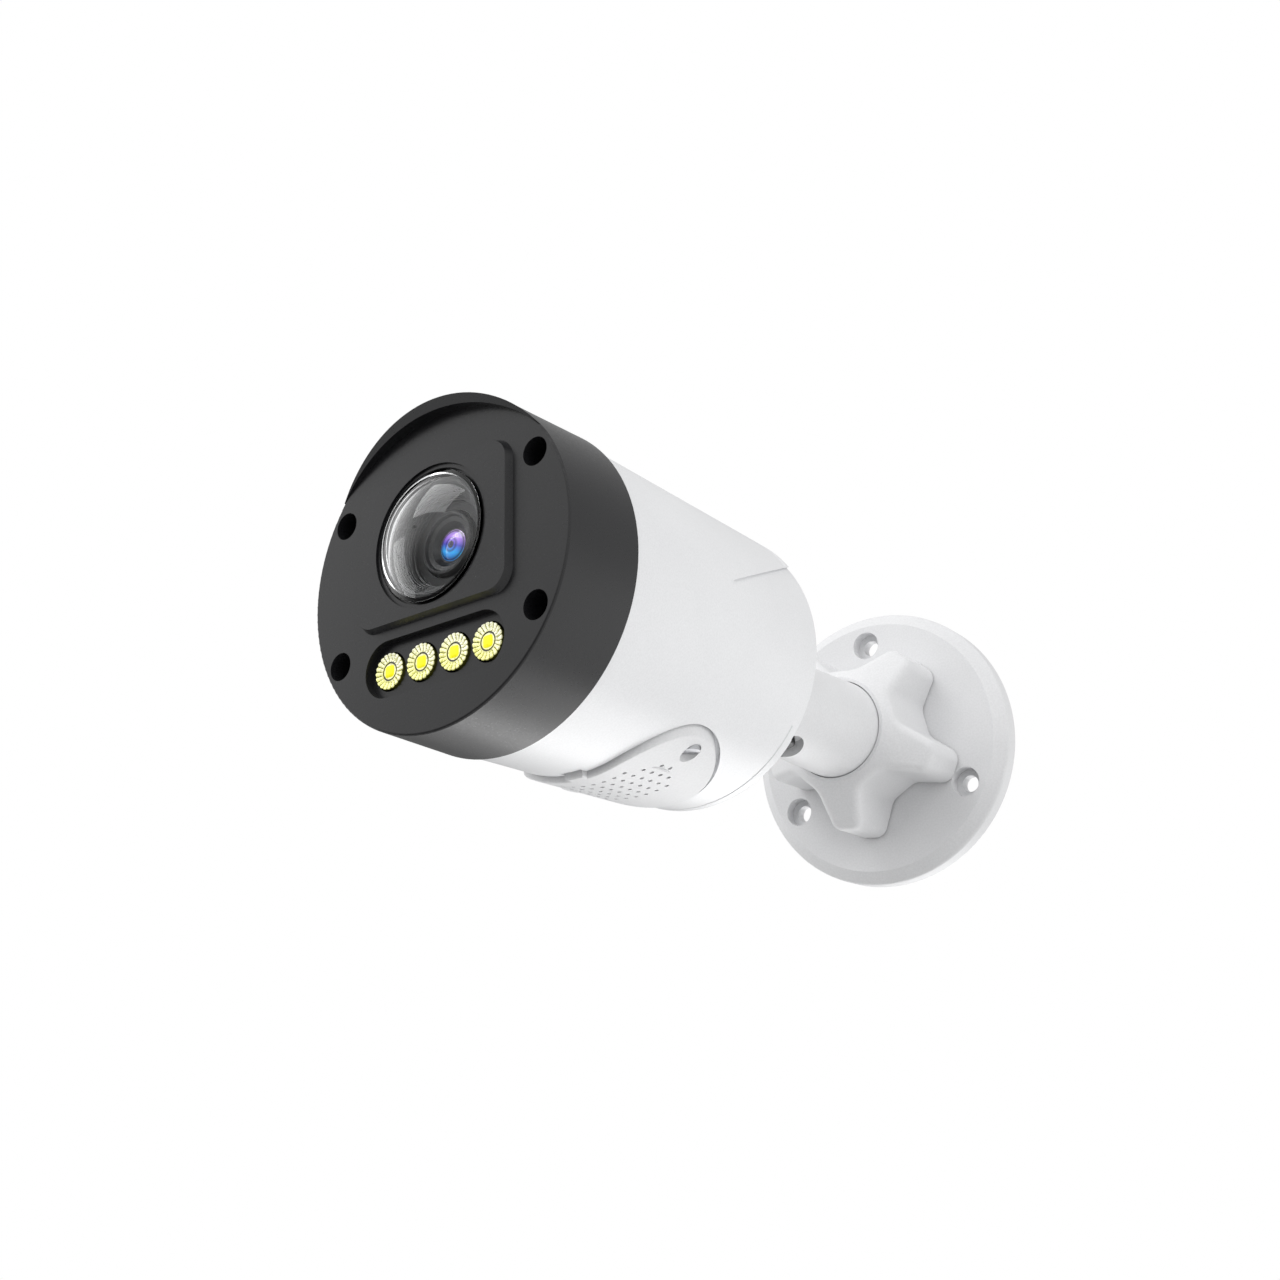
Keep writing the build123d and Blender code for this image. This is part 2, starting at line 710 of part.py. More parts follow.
belly_post_places = [
    (side * belly_post_x, face_to_wall - back)
    for side in (-1, 1)
    for back in (belly_board_front + belly_post_inset, belly_board_rear - belly_post_inset)
]
belly_board_bottom = belly_board_height - belly_board_thickness
cover_screw_distance = face_to_wall - cover_screw_back
cover_height_at_screw = -math.sqrt(cover_outer_radius ** 2 - cover_screw_x ** 2)
cover_screw_seat = cover_height_at_screw + cover_screw_recess_depth
rear_screw_angles = [
    math.radians(rear_screw_first_angle + number * 360 / rear_screw_count)
    for number in range(rear_screw_count)
]
rear_screw_places = [
    (rear_screw_circle * math.cos(angle), rear_screw_circle * math.sin(angle))
    for angle in rear_screw_angles
]
with BuildPart() as main_housing:
    turn([
        (housing_bore_radius, seam),
        (housing_radius - seam_chamfer, seam),
        (housing_radius, seam + seam_chamfer),
        (housing_radius, cap_rear),
        (cap_bore_radius - spigot_gap, cap_rear),
        (cap_bore_radius - spigot_gap, spigot_end),
        (housing_collar_bore, spigot_end),
        (housing_collar_bore, cap_rear - housing_collar_length),
        (housing_bore_radius, cap_rear - housing_collar_length - housing_collar_slope),
    ])
    cut_flank_recesses()
    # Screw holes at both ends.
    discs(front_screw_places, front_screw_radius, post_end - front_screw_length, spigot_end,
          mode=Mode.SUBTRACT)
    discs(rear_screw_places, rear_screw_radius, seam, seam + rear_screw_length, mode=Mode.SUBTRACT)
    # Groove for the front seal.
    ring(cap_bore_radius - spigot_gap - front_seal_depth, cap_bore_radius, front_seal_back,
         front_seal_back + front_seal_width, mode=Mode.SUBTRACT)
    # Pads under the cover screws and posts under the card board.
    for side in (-1, 1):
        upright(side * cover_screw_x, cover_screw_distance, cover_pad_radius, cover_pad_bottom,
                cover_pad_top)
    for post_x, post_distance in belly_post_places:
        upright(post_x, post_distance, belly_post_radius, belly_post_bottom, belly_board_bottom)
    # Recess for the cover and its access window.
    add(cover_pocket.part, mode=Mode.SUBTRACT)
    add(cover_seal.part, mode=Mode.SUBTRACT)
    for side in (-1, 1):
        upright(side * cover_screw_x, cover_screw_distance, cover_screw_radius,
                -cover_inner_radius, cover_pad_top, mode=Mode.SUBTRACT)
    block((-access_half_width, access_half_width),
          (access_front - face_to_wall, access_rear - face_to_wall),
          (-cover_outer_radius, access_top), mode=Mode.SUBTRACT)
save(main_housing, "main_housing")

with BuildPart() as front_seal:
    ring(cap_bore_radius - spigot_gap - front_seal_depth, cap_bore_radius - spigot_gap,
         front_seal_back, front_seal_back + front_seal_width)
save(front_seal, "front_seal")

# ============================================================ rear cap
with BuildPart() as rear_cap:
    turn([
        (neck_spindle_radius + running_gap, rear_face),
        (housing_radius, rear_face),
        (housing_radius, seam - seam_chamfer),
        (housing_radius - seam_chamfer, seam),
        (housing_bore_radius - spigot_gap, seam),
        (housing_bore_radius - spigot_gap, seam + rear_cap_spigot_length),
        (housing_collar_bore, seam + rear_cap_spigot_length),
        (housing_collar_bore, seam),
        (neck_spindle_radius + running_gap, seam),
    ])
    rear_rim = rear_cap.edges().filter_by(GeomType.CIRCLE).group_by(Axis.Y)[-1]
    fillet(rear_rim.sort_by(SortBy.RADIUS)[-1], radius=rear_cap_edge_round)
    cut_flank_recesses()
    discs([(0, gland_z)], gland_radius, rear_face, seam, mode=Mode.SUBTRACT)
    discs(rear_screw_places, rear_screw_radius + running_gap, rear_face, seam, mode=Mode.SUBTRACT)
    discs(rear_screw_places, rear_screw_head_radius + running_gap, rear_face - 1,
          rear_face + rear_screw_recess, mode=Mode.SUBTRACT)
save(rear_cap, "rear_cap")

with BuildPart() as rear_screws:
    discs(rear_screw_places, rear_screw_head_radius,
          rear_face + rear_screw_recess - rear_screw_head_height, rear_face + rear_screw_recess)
    discs(rear_screw_places, rear_screw_radius, rear_face + rear_screw_recess,
          seam + rear_screw_length)
save(rear_screws, "rear_screws")

# Rubber cable gland: flanges on both sides of the wall and a short tail behind.
with BuildPart() as cable_gland:
    turn([
        (gland_bore_radius, rear_face - gland_tail_length),
        (gland_bore_radius + gland_tail_wall, rear_face - gland_tail_length),
        (gland_flange_radius - gland_shoulder, rear_face - gland_flange_thickness),
        (gland_flange_radius, rear_face - gland_flange_thickness / 2),
        (gland_flange_radius, rear_face),
        (gland_radius, rear_face),
        (gland_radius, seam),
        (gland_flange_radius, seam),
        (gland_flange_radius, seam + gland_flange_thickness / 2),
        (gland_bore_radius, seam + gland_flange_thickness),
    ], centre=(0, gland_z))
save(cable_gland, "cable_gland")

# ============================================================ front cap
with BuildPart() as screw_posts:
    discs(front_screw_places, front_post_radius, post_end, plate_back)
    ring(0, cap_bore_radius + post_root_depth, post_end, plate_back, mode=Mode.INTERSECT)

# The visor is a crescent whose front slopes back to nothing. Its inner circle
# meets the rim at the height where the visor starts.
visor_back = face_to_wall - cap_edge_round
visor_front = face_to_wall + visor_reach
visor_inner_drop = (
    (cap_face_radius ** 2 - (cap_face_radius - visor_width) ** 2)
    / (2 * (cap_face_radius - visor_width - visor_start_height))
)
with BuildPart() as visor:
    ring(0, cap_face_radius, visor_back, visor_front)
    ring(0, cap_face_radius - visor_width + visor_inner_drop, visor_back - 1, visor_front + 1,
         mode=Mode.SUBTRACT, centre=(0, -visor_inner_drop))
    with BuildSketch(Plane.YZ):
        with BuildLine():
            Polyline([
                (-face_to_wall, visor_start_height),
                (-visor_front, cap_face_radius),
                (-visor_front, cap_rear_radius + 1),
                (-visor_back, cap_rear_radius + 1),
                (-visor_back, visor_start_height),
            ], close=True)
        make_face()
    extrude(amount=cap_rear_radius, both=True, mode=Mode.INTERSECT)

with BuildPart() as front_cap:
    # Shell, a little wider at the rear.
    turn([
        (0, plate_back),
        (cap_bore_radius, plate_back),
        (cap_bore_radius, cap_rear),
        (cap_rear_radius, cap_rear),
        (cap_face_radius, face_to_wall),
        (0, face_to_wall),
    ])
    face_rim = front_cap.edges().filter_by(GeomType.CIRCLE).group_by(Axis.Y)[0]
    fillet(face_rim, radius=cap_edge_round)
    add(screw_posts.part)
    add(visor.part)
    # Raised panel around the window.
    with BuildSketch(station(face_to_wall)):
        with Locations((0, (panel_top + panel_bottom) / 2)):
            RectangleRounded(2 * panel_half_width, panel_top - panel_bottom, panel_corner_radius)
    extrude(amount=panel_height, taper=panel_wall_angle)
    # Stepped seat and opening of the window.
    window = (0, window_z)
    ring(0, window_seat_radius, panel_front - window_seat_depth, panel_front + 1,
         mode=Mode.SUBTRACT, centre=window)
    ring(0, window_step_radius, dome_seat, panel_front, mode=Mode.SUBTRACT, centre=window)
    ring(0, window_hole_radius, plate_back - 1, panel_front, mode=Mode.SUBTRACT, centre=window)
    # Lamp slot and its four openings.
    with BuildSketch(station(lamp_floor)):
        with Locations((0, lamp_z)):
            SlotOverall(lamp_slot_length, lamp_slot_height)
    extrude(amount=lamp_slot_depth, mode=Mode.SUBTRACT)
    discs(lamp_places, lamp_lens_radius + lamp_hole_gap, plate_back, lamp_floor,
          mode=Mode.SUBTRACT)
    # Deep recesses and holes for the front screws.
    discs(front_screw_places, front_screw_recess_radius, post_end + front_screw_floor,
          face_to_wall + 1, mode=Mode.SUBTRACT)
    discs(front_screw_places, front_screw_radius + running_gap, post_end, face_to_wall,
          mode=Mode.SUBTRACT)
save(front_cap, "front_cap")

screw_seat = post_end + front_screw_floor
with BuildPart() as front_screws:
    discs(front_screw_places, front_screw_head_radius, screw_seat,
          screw_seat + front_screw_head_height)
    with BuildSketch(station(screw_seat + front_screw_head_height)):
        with Locations(*front_screw_places):
            RegularPolygon(front_screw_key_radius, 6)
    extrude(amount=-front_screw_key_depth, mode=Mode.SUBTRACT)
    discs(front_screw_places, front_screw_radius, post_end - front_screw_length + front_screw_tip_gap,
          screw_seat)
save(front_screws, "front_screws")

# ============================================================ window
seal_top = dome_seat + window_seal_thickness
dome_rim_front = seal_top + dome_rim_thickness
with BuildPart() as window_seal:
    ring(window_hole_radius, dome_radius, dome_seat, seal_top, centre=window)
save(window_seal, "window_seal")

dome_inner_radius = dome_radius - dome_thickness
dome_inner_rise = dome_rise + dome_rim_thickness - dome_thickness
dome_apex = dome_rim_front + dome_rise
outer_middle = cap_middle(dome_radius, dome_rise, dome_rim_front)
inner_middle = cap_middle(dome_inner_radius, dome_inner_rise, seal_top)
with BuildPart() as window_dome:
    with BuildSketch(Plane(origin=(0, 0, window_z), x_dir=(1, 0, 0), z_dir=(0, 0, 1))):
        with BuildLine():
            Line((0, -seal_top - dome_inner_rise), (0, -dome_apex))
            ThreePointArc((0, -dome_apex), (outer_middle[0], -outer_middle[1]),
                          (dome_radius, -dome_rim_front))
            Line((dome_radius, -dome_rim_front), (dome_radius, -seal_top))
            Line((dome_radius, -seal_top), (dome_inner_radius, -seal_top))
            ThreePointArc((dome_inner_radius, -seal_top), (inner_middle[0], -inner_middle[1]),
                          (0, -seal_top - dome_inner_rise))
        make_face()
    revolve(axis=Axis((0, 0, window_z), (0, 1, 0)))
save(window_dome, "window_dome")

baffle_step = baffle_front - baffle_cone_depth
baffle_floor = baffle_step - baffle_step_depth
with BuildPart() as lens_baffle:
    turn([
        (baffle_throat_radius, baffle_floor - baffle_floor_thickness),
        (window_hole_radius, baffle_floor - baffle_floor_thickness),
        (window_hole_radius, baffle_front),
        (window_hole_radius - baffle_lip_width, baffle_front),
        (baffle_mouth_radius, baffle_step),
        (baffle_mouth_radius, baffle_floor),
        (baffle_throat_radius, baffle_floor),
    ], centre=window)
save(lens_baffle, "lens_baffle")

# ============================================================ lens and sensor
glass_front = lens_front - lens_glass_setback
glass_back = glass_front - lens_glass_thickness
lens_rim_inner = lens_head_radius - lens_rim_chamfer - lens_rim_width
with BuildPart() as lens_barrel:
    turn([
        (lens_glass_radius, lens_back),
        (lens_thread_radius, lens_back),
        (lens_thread_radius, lens_head_back),
        (lens_head_radius, lens_head_back),
        (lens_head_radius, lens_front - lens_rim_chamfer),
        (lens_head_radius - lens_rim_chamfer, lens_front),
        (lens_rim_inner, lens_front),
        (lens_rim_inner - lens_dish_step, lens_front - lens_dish_depth),
        (lens_glass_radius + lens_cone_width, lens_front - lens_cone_depth),
        (lens_glass_radius + lens_land_width, glass_front),
        (lens_glass_radius, glass_front),
    ], centre=window)
save(lens_barrel, "lens_barrel")

lens_middle = cap_middle(lens_glass_radius, lens_glass_bulge, glass_front)
with BuildPart() as front_lens:
    with BuildSketch(Plane(origin=(0, 0, window_z), x_dir=(1, 0, 0), z_dir=(0, 0, 1))):
        with BuildLine():
            Line((0, -glass_front - lens_glass_bulge), (0, -glass_back))
            Line((0, -glass_back), (lens_glass_radius, -glass_back))
            Line((lens_glass_radius, -glass_back), (lens_glass_radius, -glass_front))
            ThreePointArc((lens_glass_radius, -glass_front), (lens_middle[0], -lens_middle[1]),
                          (0, -glass_front - lens_glass_bulge))
        make_face()
    revolve(axis=Axis((0, 0, window_z), (0, 1, 0)))
save(front_lens, "front_lens")

with BuildPart() as rear_lens:
    ring(0, lens_glass_radius, lens_back, lens_back + lens_glass_thickness, centre=window)
save(rear_lens, "rear_lens")

holder_x = (-holder_half_width, holder_half_width)
holder_z = (window_z - holder_half_height, window_z + holder_half_height)
cavity_x = (holder_x[0] + holder_wall, holder_x[1] - holder_wall)
cavity_z = (holder_z[0] + holder_wall, holder_z[1] - holder_wall)
with BuildPart() as lens_holder:
    block(holder_x, (-holder_front, -sensor_board_front), holder_z)
    block(cavity_x, (-holder_front + holder_wall, -sensor_board_front + 1), cavity_z,
          mode=Mode.SUBTRACT)
    ring(0, holder_tube_radius, holder_front, holder_tube_front, centre=window)
    ring(0, lens_thread_radius, sensor_board_front, holder_tube_front + 1,
         mode=Mode.SUBTRACT, centre=window)
save(lens_holder, "lens_holder")

shuttle_front = holder_front - holder_wall - shuttle_front_gap
shuttle_back = shuttle_front - shuttle_thickness
shuttle_middle = -shuttle_travel / 2
filter_x_places = {"ir_cut_filter": 0.0, "clear_filter": -shuttle_travel}
with BuildPart() as filter_shuttle:
    block((shuttle_middle - shuttle_half_length, shuttle_middle + shuttle_half_length),
          (-shuttle_front, -shuttle_back),
          (window_z - shuttle_height / 2, window_z + shuttle_height / 2))
    for filter_x in filter_x_places.values():
        block((filter_x - filter_width / 2, filter_x + filter_width / 2),
              (-shuttle_front, -shuttle_back),
              (window_z - filter_height / 2, window_z + filter_height / 2), mode=Mode.SUBTRACT)
save(filter_shuttle, "filter_shuttle")

for filter_name, filter_x in filter_x_places.items():
    with BuildPart() as filter_glass:
        block((filter_x - filter_width / 2, filter_x + filter_width / 2),
              (-shuttle_front, -shuttle_front + filter_thickness),
              (window_z - filter_height / 2, window_z + filter_height / 2))
    save(filter_glass, filter_name)

with BuildPart() as filter_coil:
    discs([(holder_half_width - coil_radius - coil_inset, window_z)], coil_radius, holder_front,
          holder_front + coil_length)
save(filter_coil, "filter_coil")

with BuildPart() as sensor_board:
    with BuildSketch(station(sensor_board_back)):
        with Locations(window):
            Rectangle(sensor_board_size, sensor_board_size)
    extrude(amount=board_thickness)
save(sensor_board, "sensor_board")

with BuildPart() as image_sensor:
    block((-sensor_width / 2, sensor_width / 2),
          (-sensor_board_front - sensor_thickness, -sensor_board_front),
          (window_z - sensor_height / 2, window_z + sensor_height / 2))
save(image_sensor, "image_sensor")

# ============================================================ main board
spacer_places = [
    (side_x * spacer_offset, window_z + side_z * spacer_offset)
    for side_x in (-1, 1)
    for side_z in (-1, 1)
]
rear_post_places = [
    (side_x * rear_post_x, side_z * rear_post_z) for side_x in (-1, 1) for side_z in (-1, 1)
]
with BuildPart() as board_spacers:
    discs(spacer_places, spacer_radius, main_board_front, sensor_board_back)
save(board_spacers, "board_spacers")

with BuildPart() as main_board:
    block((-main_board_half_width, main_board_half_width),
          (-main_board_front, -main_board_back), (main_board_bottom, main_board_top))
save(main_board, "main_board")

with BuildPart() as rear_posts:
    discs(rear_post_places, rear_post_radius, seam, main_board_back)
save(rear_posts, "rear_posts")

with BuildPart() as processor:
    block((-processor_size / 2, processor_size / 2),
          (-main_board_front - processor_height, -main_board_front),
          (-processor_size / 2, processor_size / 2))
save(processor, "processor")

with BuildPart() as cable_header:
    block((-header_width / 2, header_width / 2),
          (-main_board_back, -main_board_back + header_depth),
          (main_board_bottom + header_inset, main_board_bottom + header_inset + header_height))
save(cable_header, "cable_header")

# ============================================================ lamps
with BuildPart() as lamp_holder:
    with BuildSketch(station(lamp_board_front)):
        with Locations((0, lamp_z)):
            SlotOverall(lamp_slot_length, lamp_slot_height)
        with Locations(*lamp_places):
            Circle(lamp_lens_radius + lamp_hole_gap, mode=Mode.SUBTRACT)
    extrude(amount=plate_back - lamp_board_front)
save(lamp_holder, "lamp_holder")

with BuildPart() as lamp_board:
    with BuildSketch(station(lamp_board_back)):
        with Locations((0, lamp_z)):
            SlotOverall(lamp_slot_length, lamp_slot_height)
    extrude(amount=lamp_board_thickness)
save(lamp_board, "lamp_board")

for number, place in enumerate(lamp_places, start=1):
    with BuildPart() as lamp_lens:
        turn([
            (0, lamp_lens_back),
            (lamp_lens_foot_radius, lamp_lens_back),
            (lamp_lens_radius, lamp_floor - lamp_rim_height),
            (lamp_lens_radius, lamp_front),
            (lamp_lens_foot_radius, lamp_front),
            (lamp_lens_foot_radius - lamp_dish_step, lamp_front - lamp_dish_depth),
            (0, lamp_front - lamp_dish_depth),
        ], centre=place)
    save(lamp_lens, f"lamp_lens_{number}")

    with BuildPart() as lamp_chip:
        block((place[0] - lamp_chip_size / 2, place[0] + lamp_chip_size / 2),
              (-lamp_lens_back, -lamp_board_front),
              (place[1] - lamp_chip_size / 2, place[1] + lamp_chip_size / 2))
    save(lamp_chip, f"lamp_chip_{number}")

# ============================================================ underside cover
speaker_distance = face_to_wall - grille_back
with BuildPart() as bottom_cover:
    cover_prism(0, -cover_groove / 2)
    ring(cover_inner_radius, cover_outer_radius, seam, cap_rear, mode=Mode.INTERSECT)
    fillet(bottom_cover.faces().sort_by(Axis.Z)[0].edges(), radius=cover_edge_round)
    # Seat for the speaker.
    with BuildSketch(level(-cover_inner_radius - speaker_seat_root)):
        with Locations((0, -speaker_distance)):
            SlotOverall(speaker_length, speaker_width)
            SlotOverall(speaker_length - 2 * speaker_seat_width,
                        speaker_width - 2 * speaker_seat_width, mode=Mode.SUBTRACT)
    extrude(amount=cover_inner_radius + speaker_seat_root + speaker_seat_height)
    # Screw holes and recesses.
    for side in (-1, 1):
        upright(side * cover_screw_x, cover_screw_distance, cover_screw_radius + running_gap,
                -cover_outer_radius, 0, mode=Mode.SUBTRACT)
        upright(side * cover_screw_x, cover_screw_distance, cover_screw_recess_radius,
                -cover_outer_radius, cover_screw_seat, mode=Mode.SUBTRACT)
    # Grille drilled square to the curved plate.
    for row, hole_count in enumerate(grille_rows):
        lean = math.radians((row - (len(grille_rows) - 1) / 2) * grille_row_angle)
        row_plane = Plane(
            origin=(0, -speaker_distance, 0),
            x_dir=(0, 1, 0),
            z_dir=(math.sin(lean), 0, -math.cos(lean)),
        )
        with BuildSketch(row_plane.offset(cover_inner_radius - grille_overrun)) as row_holes:
            with GridLocations(grille_pitch, 1, hole_count, 1):
                Circle(grille_hole_radius)
        extrude(row_holes.sketch,
                amount=cover_outer_radius - cover_inner_radius + 2 * grille_overrun,
                mode=Mode.SUBTRACT)
save(bottom_cover, "bottom_cover")

with BuildPart() as cover_screws:
    for side in (-1, 1):
        upright(side * cover_screw_x, cover_screw_distance, cover_screw_head_radius,
                cover_screw_seat - cover_screw_head_height, cover_screw_seat)
        upright(side * cover_screw_x, cover_screw_distance, cover_screw_radius,
                cover_screw_seat, cover_screw_seat + cover_screw_length)
save(cover_screws, "cover_screws")

with BuildPart() as speaker_frame:
    with BuildSketch(level(speaker_seat_height)):
        with Locations((0, -speaker_distance)):
            SlotOverall(speaker_length, speaker_width)
    extrude(amount=speaker_depth)
    with BuildSketch(level(speaker_seat_height)):
        with Locations((0, -speaker_distance)):
            SlotOverall(speaker_length - 2 * speaker_rim, speaker_width - 2 * speaker_rim)
    extrude(amount=speaker_depth - speaker_back_thickness, mode=Mode.SUBTRACT)
save(speaker_frame, "speaker_frame")

with BuildPart() as speaker_cone:
    with BuildSketch(level(speaker_seat_height + cone_setback)):
        with Locations((0, -speaker_distance)):
            SlotOverall(speaker_length - 2 * speaker_rim, speaker_width - 2 * speaker_rim)
    extrude(amount=cone_thickness)
save(speaker_cone, "speaker_cone")

with BuildPart() as speaker_magnet:
    upright(0, speaker_distance, magnet_radius,
            speaker_seat_height + cone_setback + cone_thickness,
            speaker_seat_height + speaker_depth - speaker_back_thickness)
save(speaker_magnet, "speaker_magnet")

# ============================================================ belly board
with BuildPart() as belly_board:
    block((-belly_board_half_width, belly_board_half_width),
          (belly_board_front - face_to_wall, belly_board_rear - face_to_wall),
          (belly_board_bottom, belly_board_height))
save(belly_board, "belly_board")

socket_height = card_thickness + 2 * card_socket_wall
card_front_y = card_socket_front - face_to_wall
card_z = (belly_board_bottom - card_socket_wall - card_thickness,
          belly_board_bottom - card_socket_wall)
with BuildPart() as card_socket:
    block((card_x - card_width / 2 - card_socket_wall, card_x + card_width / 2 + card_socket_wall),
          (card_front_y - card_socket_wall, card_front_y + card_length - card_overhang),
          (belly_board_bottom - socket_height, belly_board_bottom))
    block((card_x - card_width / 2 - running_gap, card_x + card_width / 2 + running_gap),
          (card_front_y, card_front_y + card_length),
          (card_z[0] - running_gap, card_z[1] + running_gap), mode=Mode.SUBTRACT)
save(card_socket, "card_socket")

with BuildPart() as memory_card:
    block((card_x - card_width / 2, card_x + card_width / 2),
          (card_front_y, card_front_y + card_length), card_z)
save(memory_card, "memory_card")

button_distance = face_to_wall - button_back
switch_bottom = belly_board_bottom - button_switch_height
with BuildPart() as button_switch:
    block((button_x - button_switch_size / 2, button_x + button_switch_size / 2),
          (-button_distance - button_switch_size / 2, -button_distance + button_switch_size / 2),
          (switch_bottom, belly_board_bottom))
    upright(button_x, button_distance, button_radius + running_gap, switch_bottom,
            belly_board_bottom - button_switch_floor, mode=Mode.SUBTRACT)
save(button_switch, "button_switch")

with BuildPart() as reset_button:
    upright(button_x, button_distance, button_radius, switch_bottom - button_reach,
            belly_board_bottom - button_switch_floor - button_travel - running_gap)
save(reset_button, "reset_button")

with BuildPart() as microphone:
    block((microphone_x - microphone_size / 2, microphone_x + microphone_size / 2),
          (microphone_back - face_to_wall, microphone_back - face_to_wall + microphone_size),
          (belly_board_bottom - microphone_height, belly_board_bottom))
save(microphone, "microphone")
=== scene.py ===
import json
import math

import bmesh
import bpy
from mathutils import Matrix, Vector


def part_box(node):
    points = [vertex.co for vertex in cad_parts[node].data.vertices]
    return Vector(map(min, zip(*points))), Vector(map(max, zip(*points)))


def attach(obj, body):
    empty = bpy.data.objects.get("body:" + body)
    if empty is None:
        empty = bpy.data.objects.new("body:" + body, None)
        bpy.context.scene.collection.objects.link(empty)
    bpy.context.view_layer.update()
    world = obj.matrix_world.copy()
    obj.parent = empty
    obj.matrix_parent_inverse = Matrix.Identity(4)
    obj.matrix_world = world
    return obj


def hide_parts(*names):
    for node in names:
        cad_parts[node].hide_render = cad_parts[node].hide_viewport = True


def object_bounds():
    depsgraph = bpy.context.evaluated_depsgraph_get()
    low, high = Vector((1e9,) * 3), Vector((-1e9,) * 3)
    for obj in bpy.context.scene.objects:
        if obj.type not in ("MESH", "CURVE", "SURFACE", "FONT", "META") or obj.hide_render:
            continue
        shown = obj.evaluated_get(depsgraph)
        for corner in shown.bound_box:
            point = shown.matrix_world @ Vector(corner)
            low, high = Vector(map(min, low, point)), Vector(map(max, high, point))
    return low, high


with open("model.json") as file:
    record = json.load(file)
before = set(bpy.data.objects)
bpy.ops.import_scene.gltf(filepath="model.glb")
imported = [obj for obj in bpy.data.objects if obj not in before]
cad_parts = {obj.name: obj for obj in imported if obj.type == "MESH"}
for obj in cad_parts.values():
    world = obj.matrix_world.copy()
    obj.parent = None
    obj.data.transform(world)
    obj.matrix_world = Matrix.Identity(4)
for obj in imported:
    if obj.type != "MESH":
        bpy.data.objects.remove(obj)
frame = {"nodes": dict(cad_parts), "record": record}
cad_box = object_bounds()

# Bullet security camera on its wall bracket. The camera looks along -Y, the
# wall is the plane Y = 0 and +Z is up. Lengths are in metres, as in the frame.
MM = 0.001
HEAD = "camera_head"             # the body that carries the housing, lens and lamps
SMOOTH_ANGLE = 35.0              # degrees: sharper edges than this stay crisp
PETAL_SMOOTH_ANGLE = 28.0


# ------------------------------------------------------------------ geometry
def new_object(name, bm, material, smooth_angle=SMOOTH_ANGLE):
    """Turns a bmesh into a shown object with one material and smooth faces."""
    bmesh.ops.recalc_face_normals(bm, faces=bm.faces)
    mesh = bpy.data.meshes.new(name)
    bm.to_mesh(mesh)
    bm.free()
    piece = bpy.data.objects.new(name, mesh)
    bpy.context.scene.collection.objects.link(piece)
    piece.data.materials.append(material)
    mesh.polygons.foreach_set("use_smooth", [True] * len(mesh.polygons))
    mesh.set_sharp_from_angle(angle=math.radians(smooth_angle))
    return piece


def turns(steps):
    """The angles of evenly spaced points round a full turn."""
    return [2 * math.pi * step / steps for step in range(steps)]


def ring_pairs(rings, closed):
    """Neighbouring rings, and the last with the first when the section is closed."""
    pairs = list(zip(rings, rings[1:]))
    if closed:
        pairs.append((rings[-1], rings[0]))
    return pairs


def skin(bm, rings, closed):
    """Faces between neighbouring rings of points; a ring of one point is a tip."""
    for one, other in ring_pairs(rings, closed):
        steps = max(len(one), len(other))
        for step in range(steps):
            following = (step + 1) % steps
            if len(one) == 1:
                bm.faces.new((one[0], other[step], other[following]))
            elif len(other) == 1:
                bm.faces.new((one[step], other[0], one[following]))
            else:
                bm.faces.new((one[step], other[step], other[following], one[following]))


def lathe(name, profile, centre, material, segments, closed=True):
    """Turns (radius, y) corners about the line along Y through centre = (x, z)."""
    bm = bmesh.new()
    rings = []
    for radius, y in profile:
        if radius == 0.0:
            rings.append([bm.verts.new((centre[0], y, centre[1]))])
            continue
        rings.append([
            bm.verts.new((centre[0] + radius * math.cos(turn), y,
                          centre[1] + radius * math.sin(turn)))
            for turn in turns(segments)
        ])
    skin(bm, rings, closed)
    return new_object(name, bm, material)


def crowned_front(radius, rise, middle_y, steps):
    """Points of a spherical cap that faces -Y, from its middle to its rim, as (radius, y)."""
    sphere = (radius ** 2 + rise ** 2) / (2 * rise)
    half_angle = math.asin(radius / sphere)
    points = []
    for step in range(steps + 1):
        angle = half_angle * step / steps
        points.append((sphere * math.sin(angle), middle_y + sphere * (1 - math.cos(angle))))
    return points


def middle(node):
    """Centre of a CAD node's box."""
    low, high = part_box(node)
    return (low + high) / 2


def place(piece, body, slot, *nodes):
    """Rides a piece on its body and hides the CAD nodes it stands for."""
    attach(piece, body)
    if nodes:
        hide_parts(*nodes)


# ----------------------------------------------------------------- materials
def material_nodes(name):
    """A new material, its node tree and its shader."""
    material = bpy.data.materials.new(name)
    material.use_nodes = True
    tree = material.node_tree
    return material, tree, tree.nodes["Principled BSDF"]


def noise_texture(tree, scale, detail=3.0, stretch=None):
    """A noise in the object's own metres, so a scale of 1000 has 1 mm features."""
    coordinates = tree.nodes.new("ShaderNodeTexCoord")
    noise = tree.nodes.new("ShaderNodeTexNoise")
    noise.inputs["Scale"].default_value = scale
    noise.inputs["Detail"].default_value = detail
    source = coordinates.outputs["Object"]
    if stretch is not None:
        mapping = tree.nodes.new("ShaderNodeMapping")
        mapping.inputs["Scale"].default_value = stretch
        tree.links.new(source, mapping.inputs["Vector"])
        source = mapping.outputs["Vector"]
    tree.links.new(source, noise.inputs["Vector"])
    return noise.outputs["Fac"]


def ramp(tree, value, stops):
    """A colour ramp with (position, colour) stops."""
    node = tree.nodes.new("ShaderNodeValToRGB")
    while len(node.color_ramp.elements) < len(stops):
        node.color_ramp.elements.new(0.5)
    for element, (position, colour) in zip(node.color_ramp.elements, stops):
        element.position = position
        element.color = (*colour, 1.0)
    tree.links.new(value, node.inputs["Fac"])
    return node.outputs["Color"]


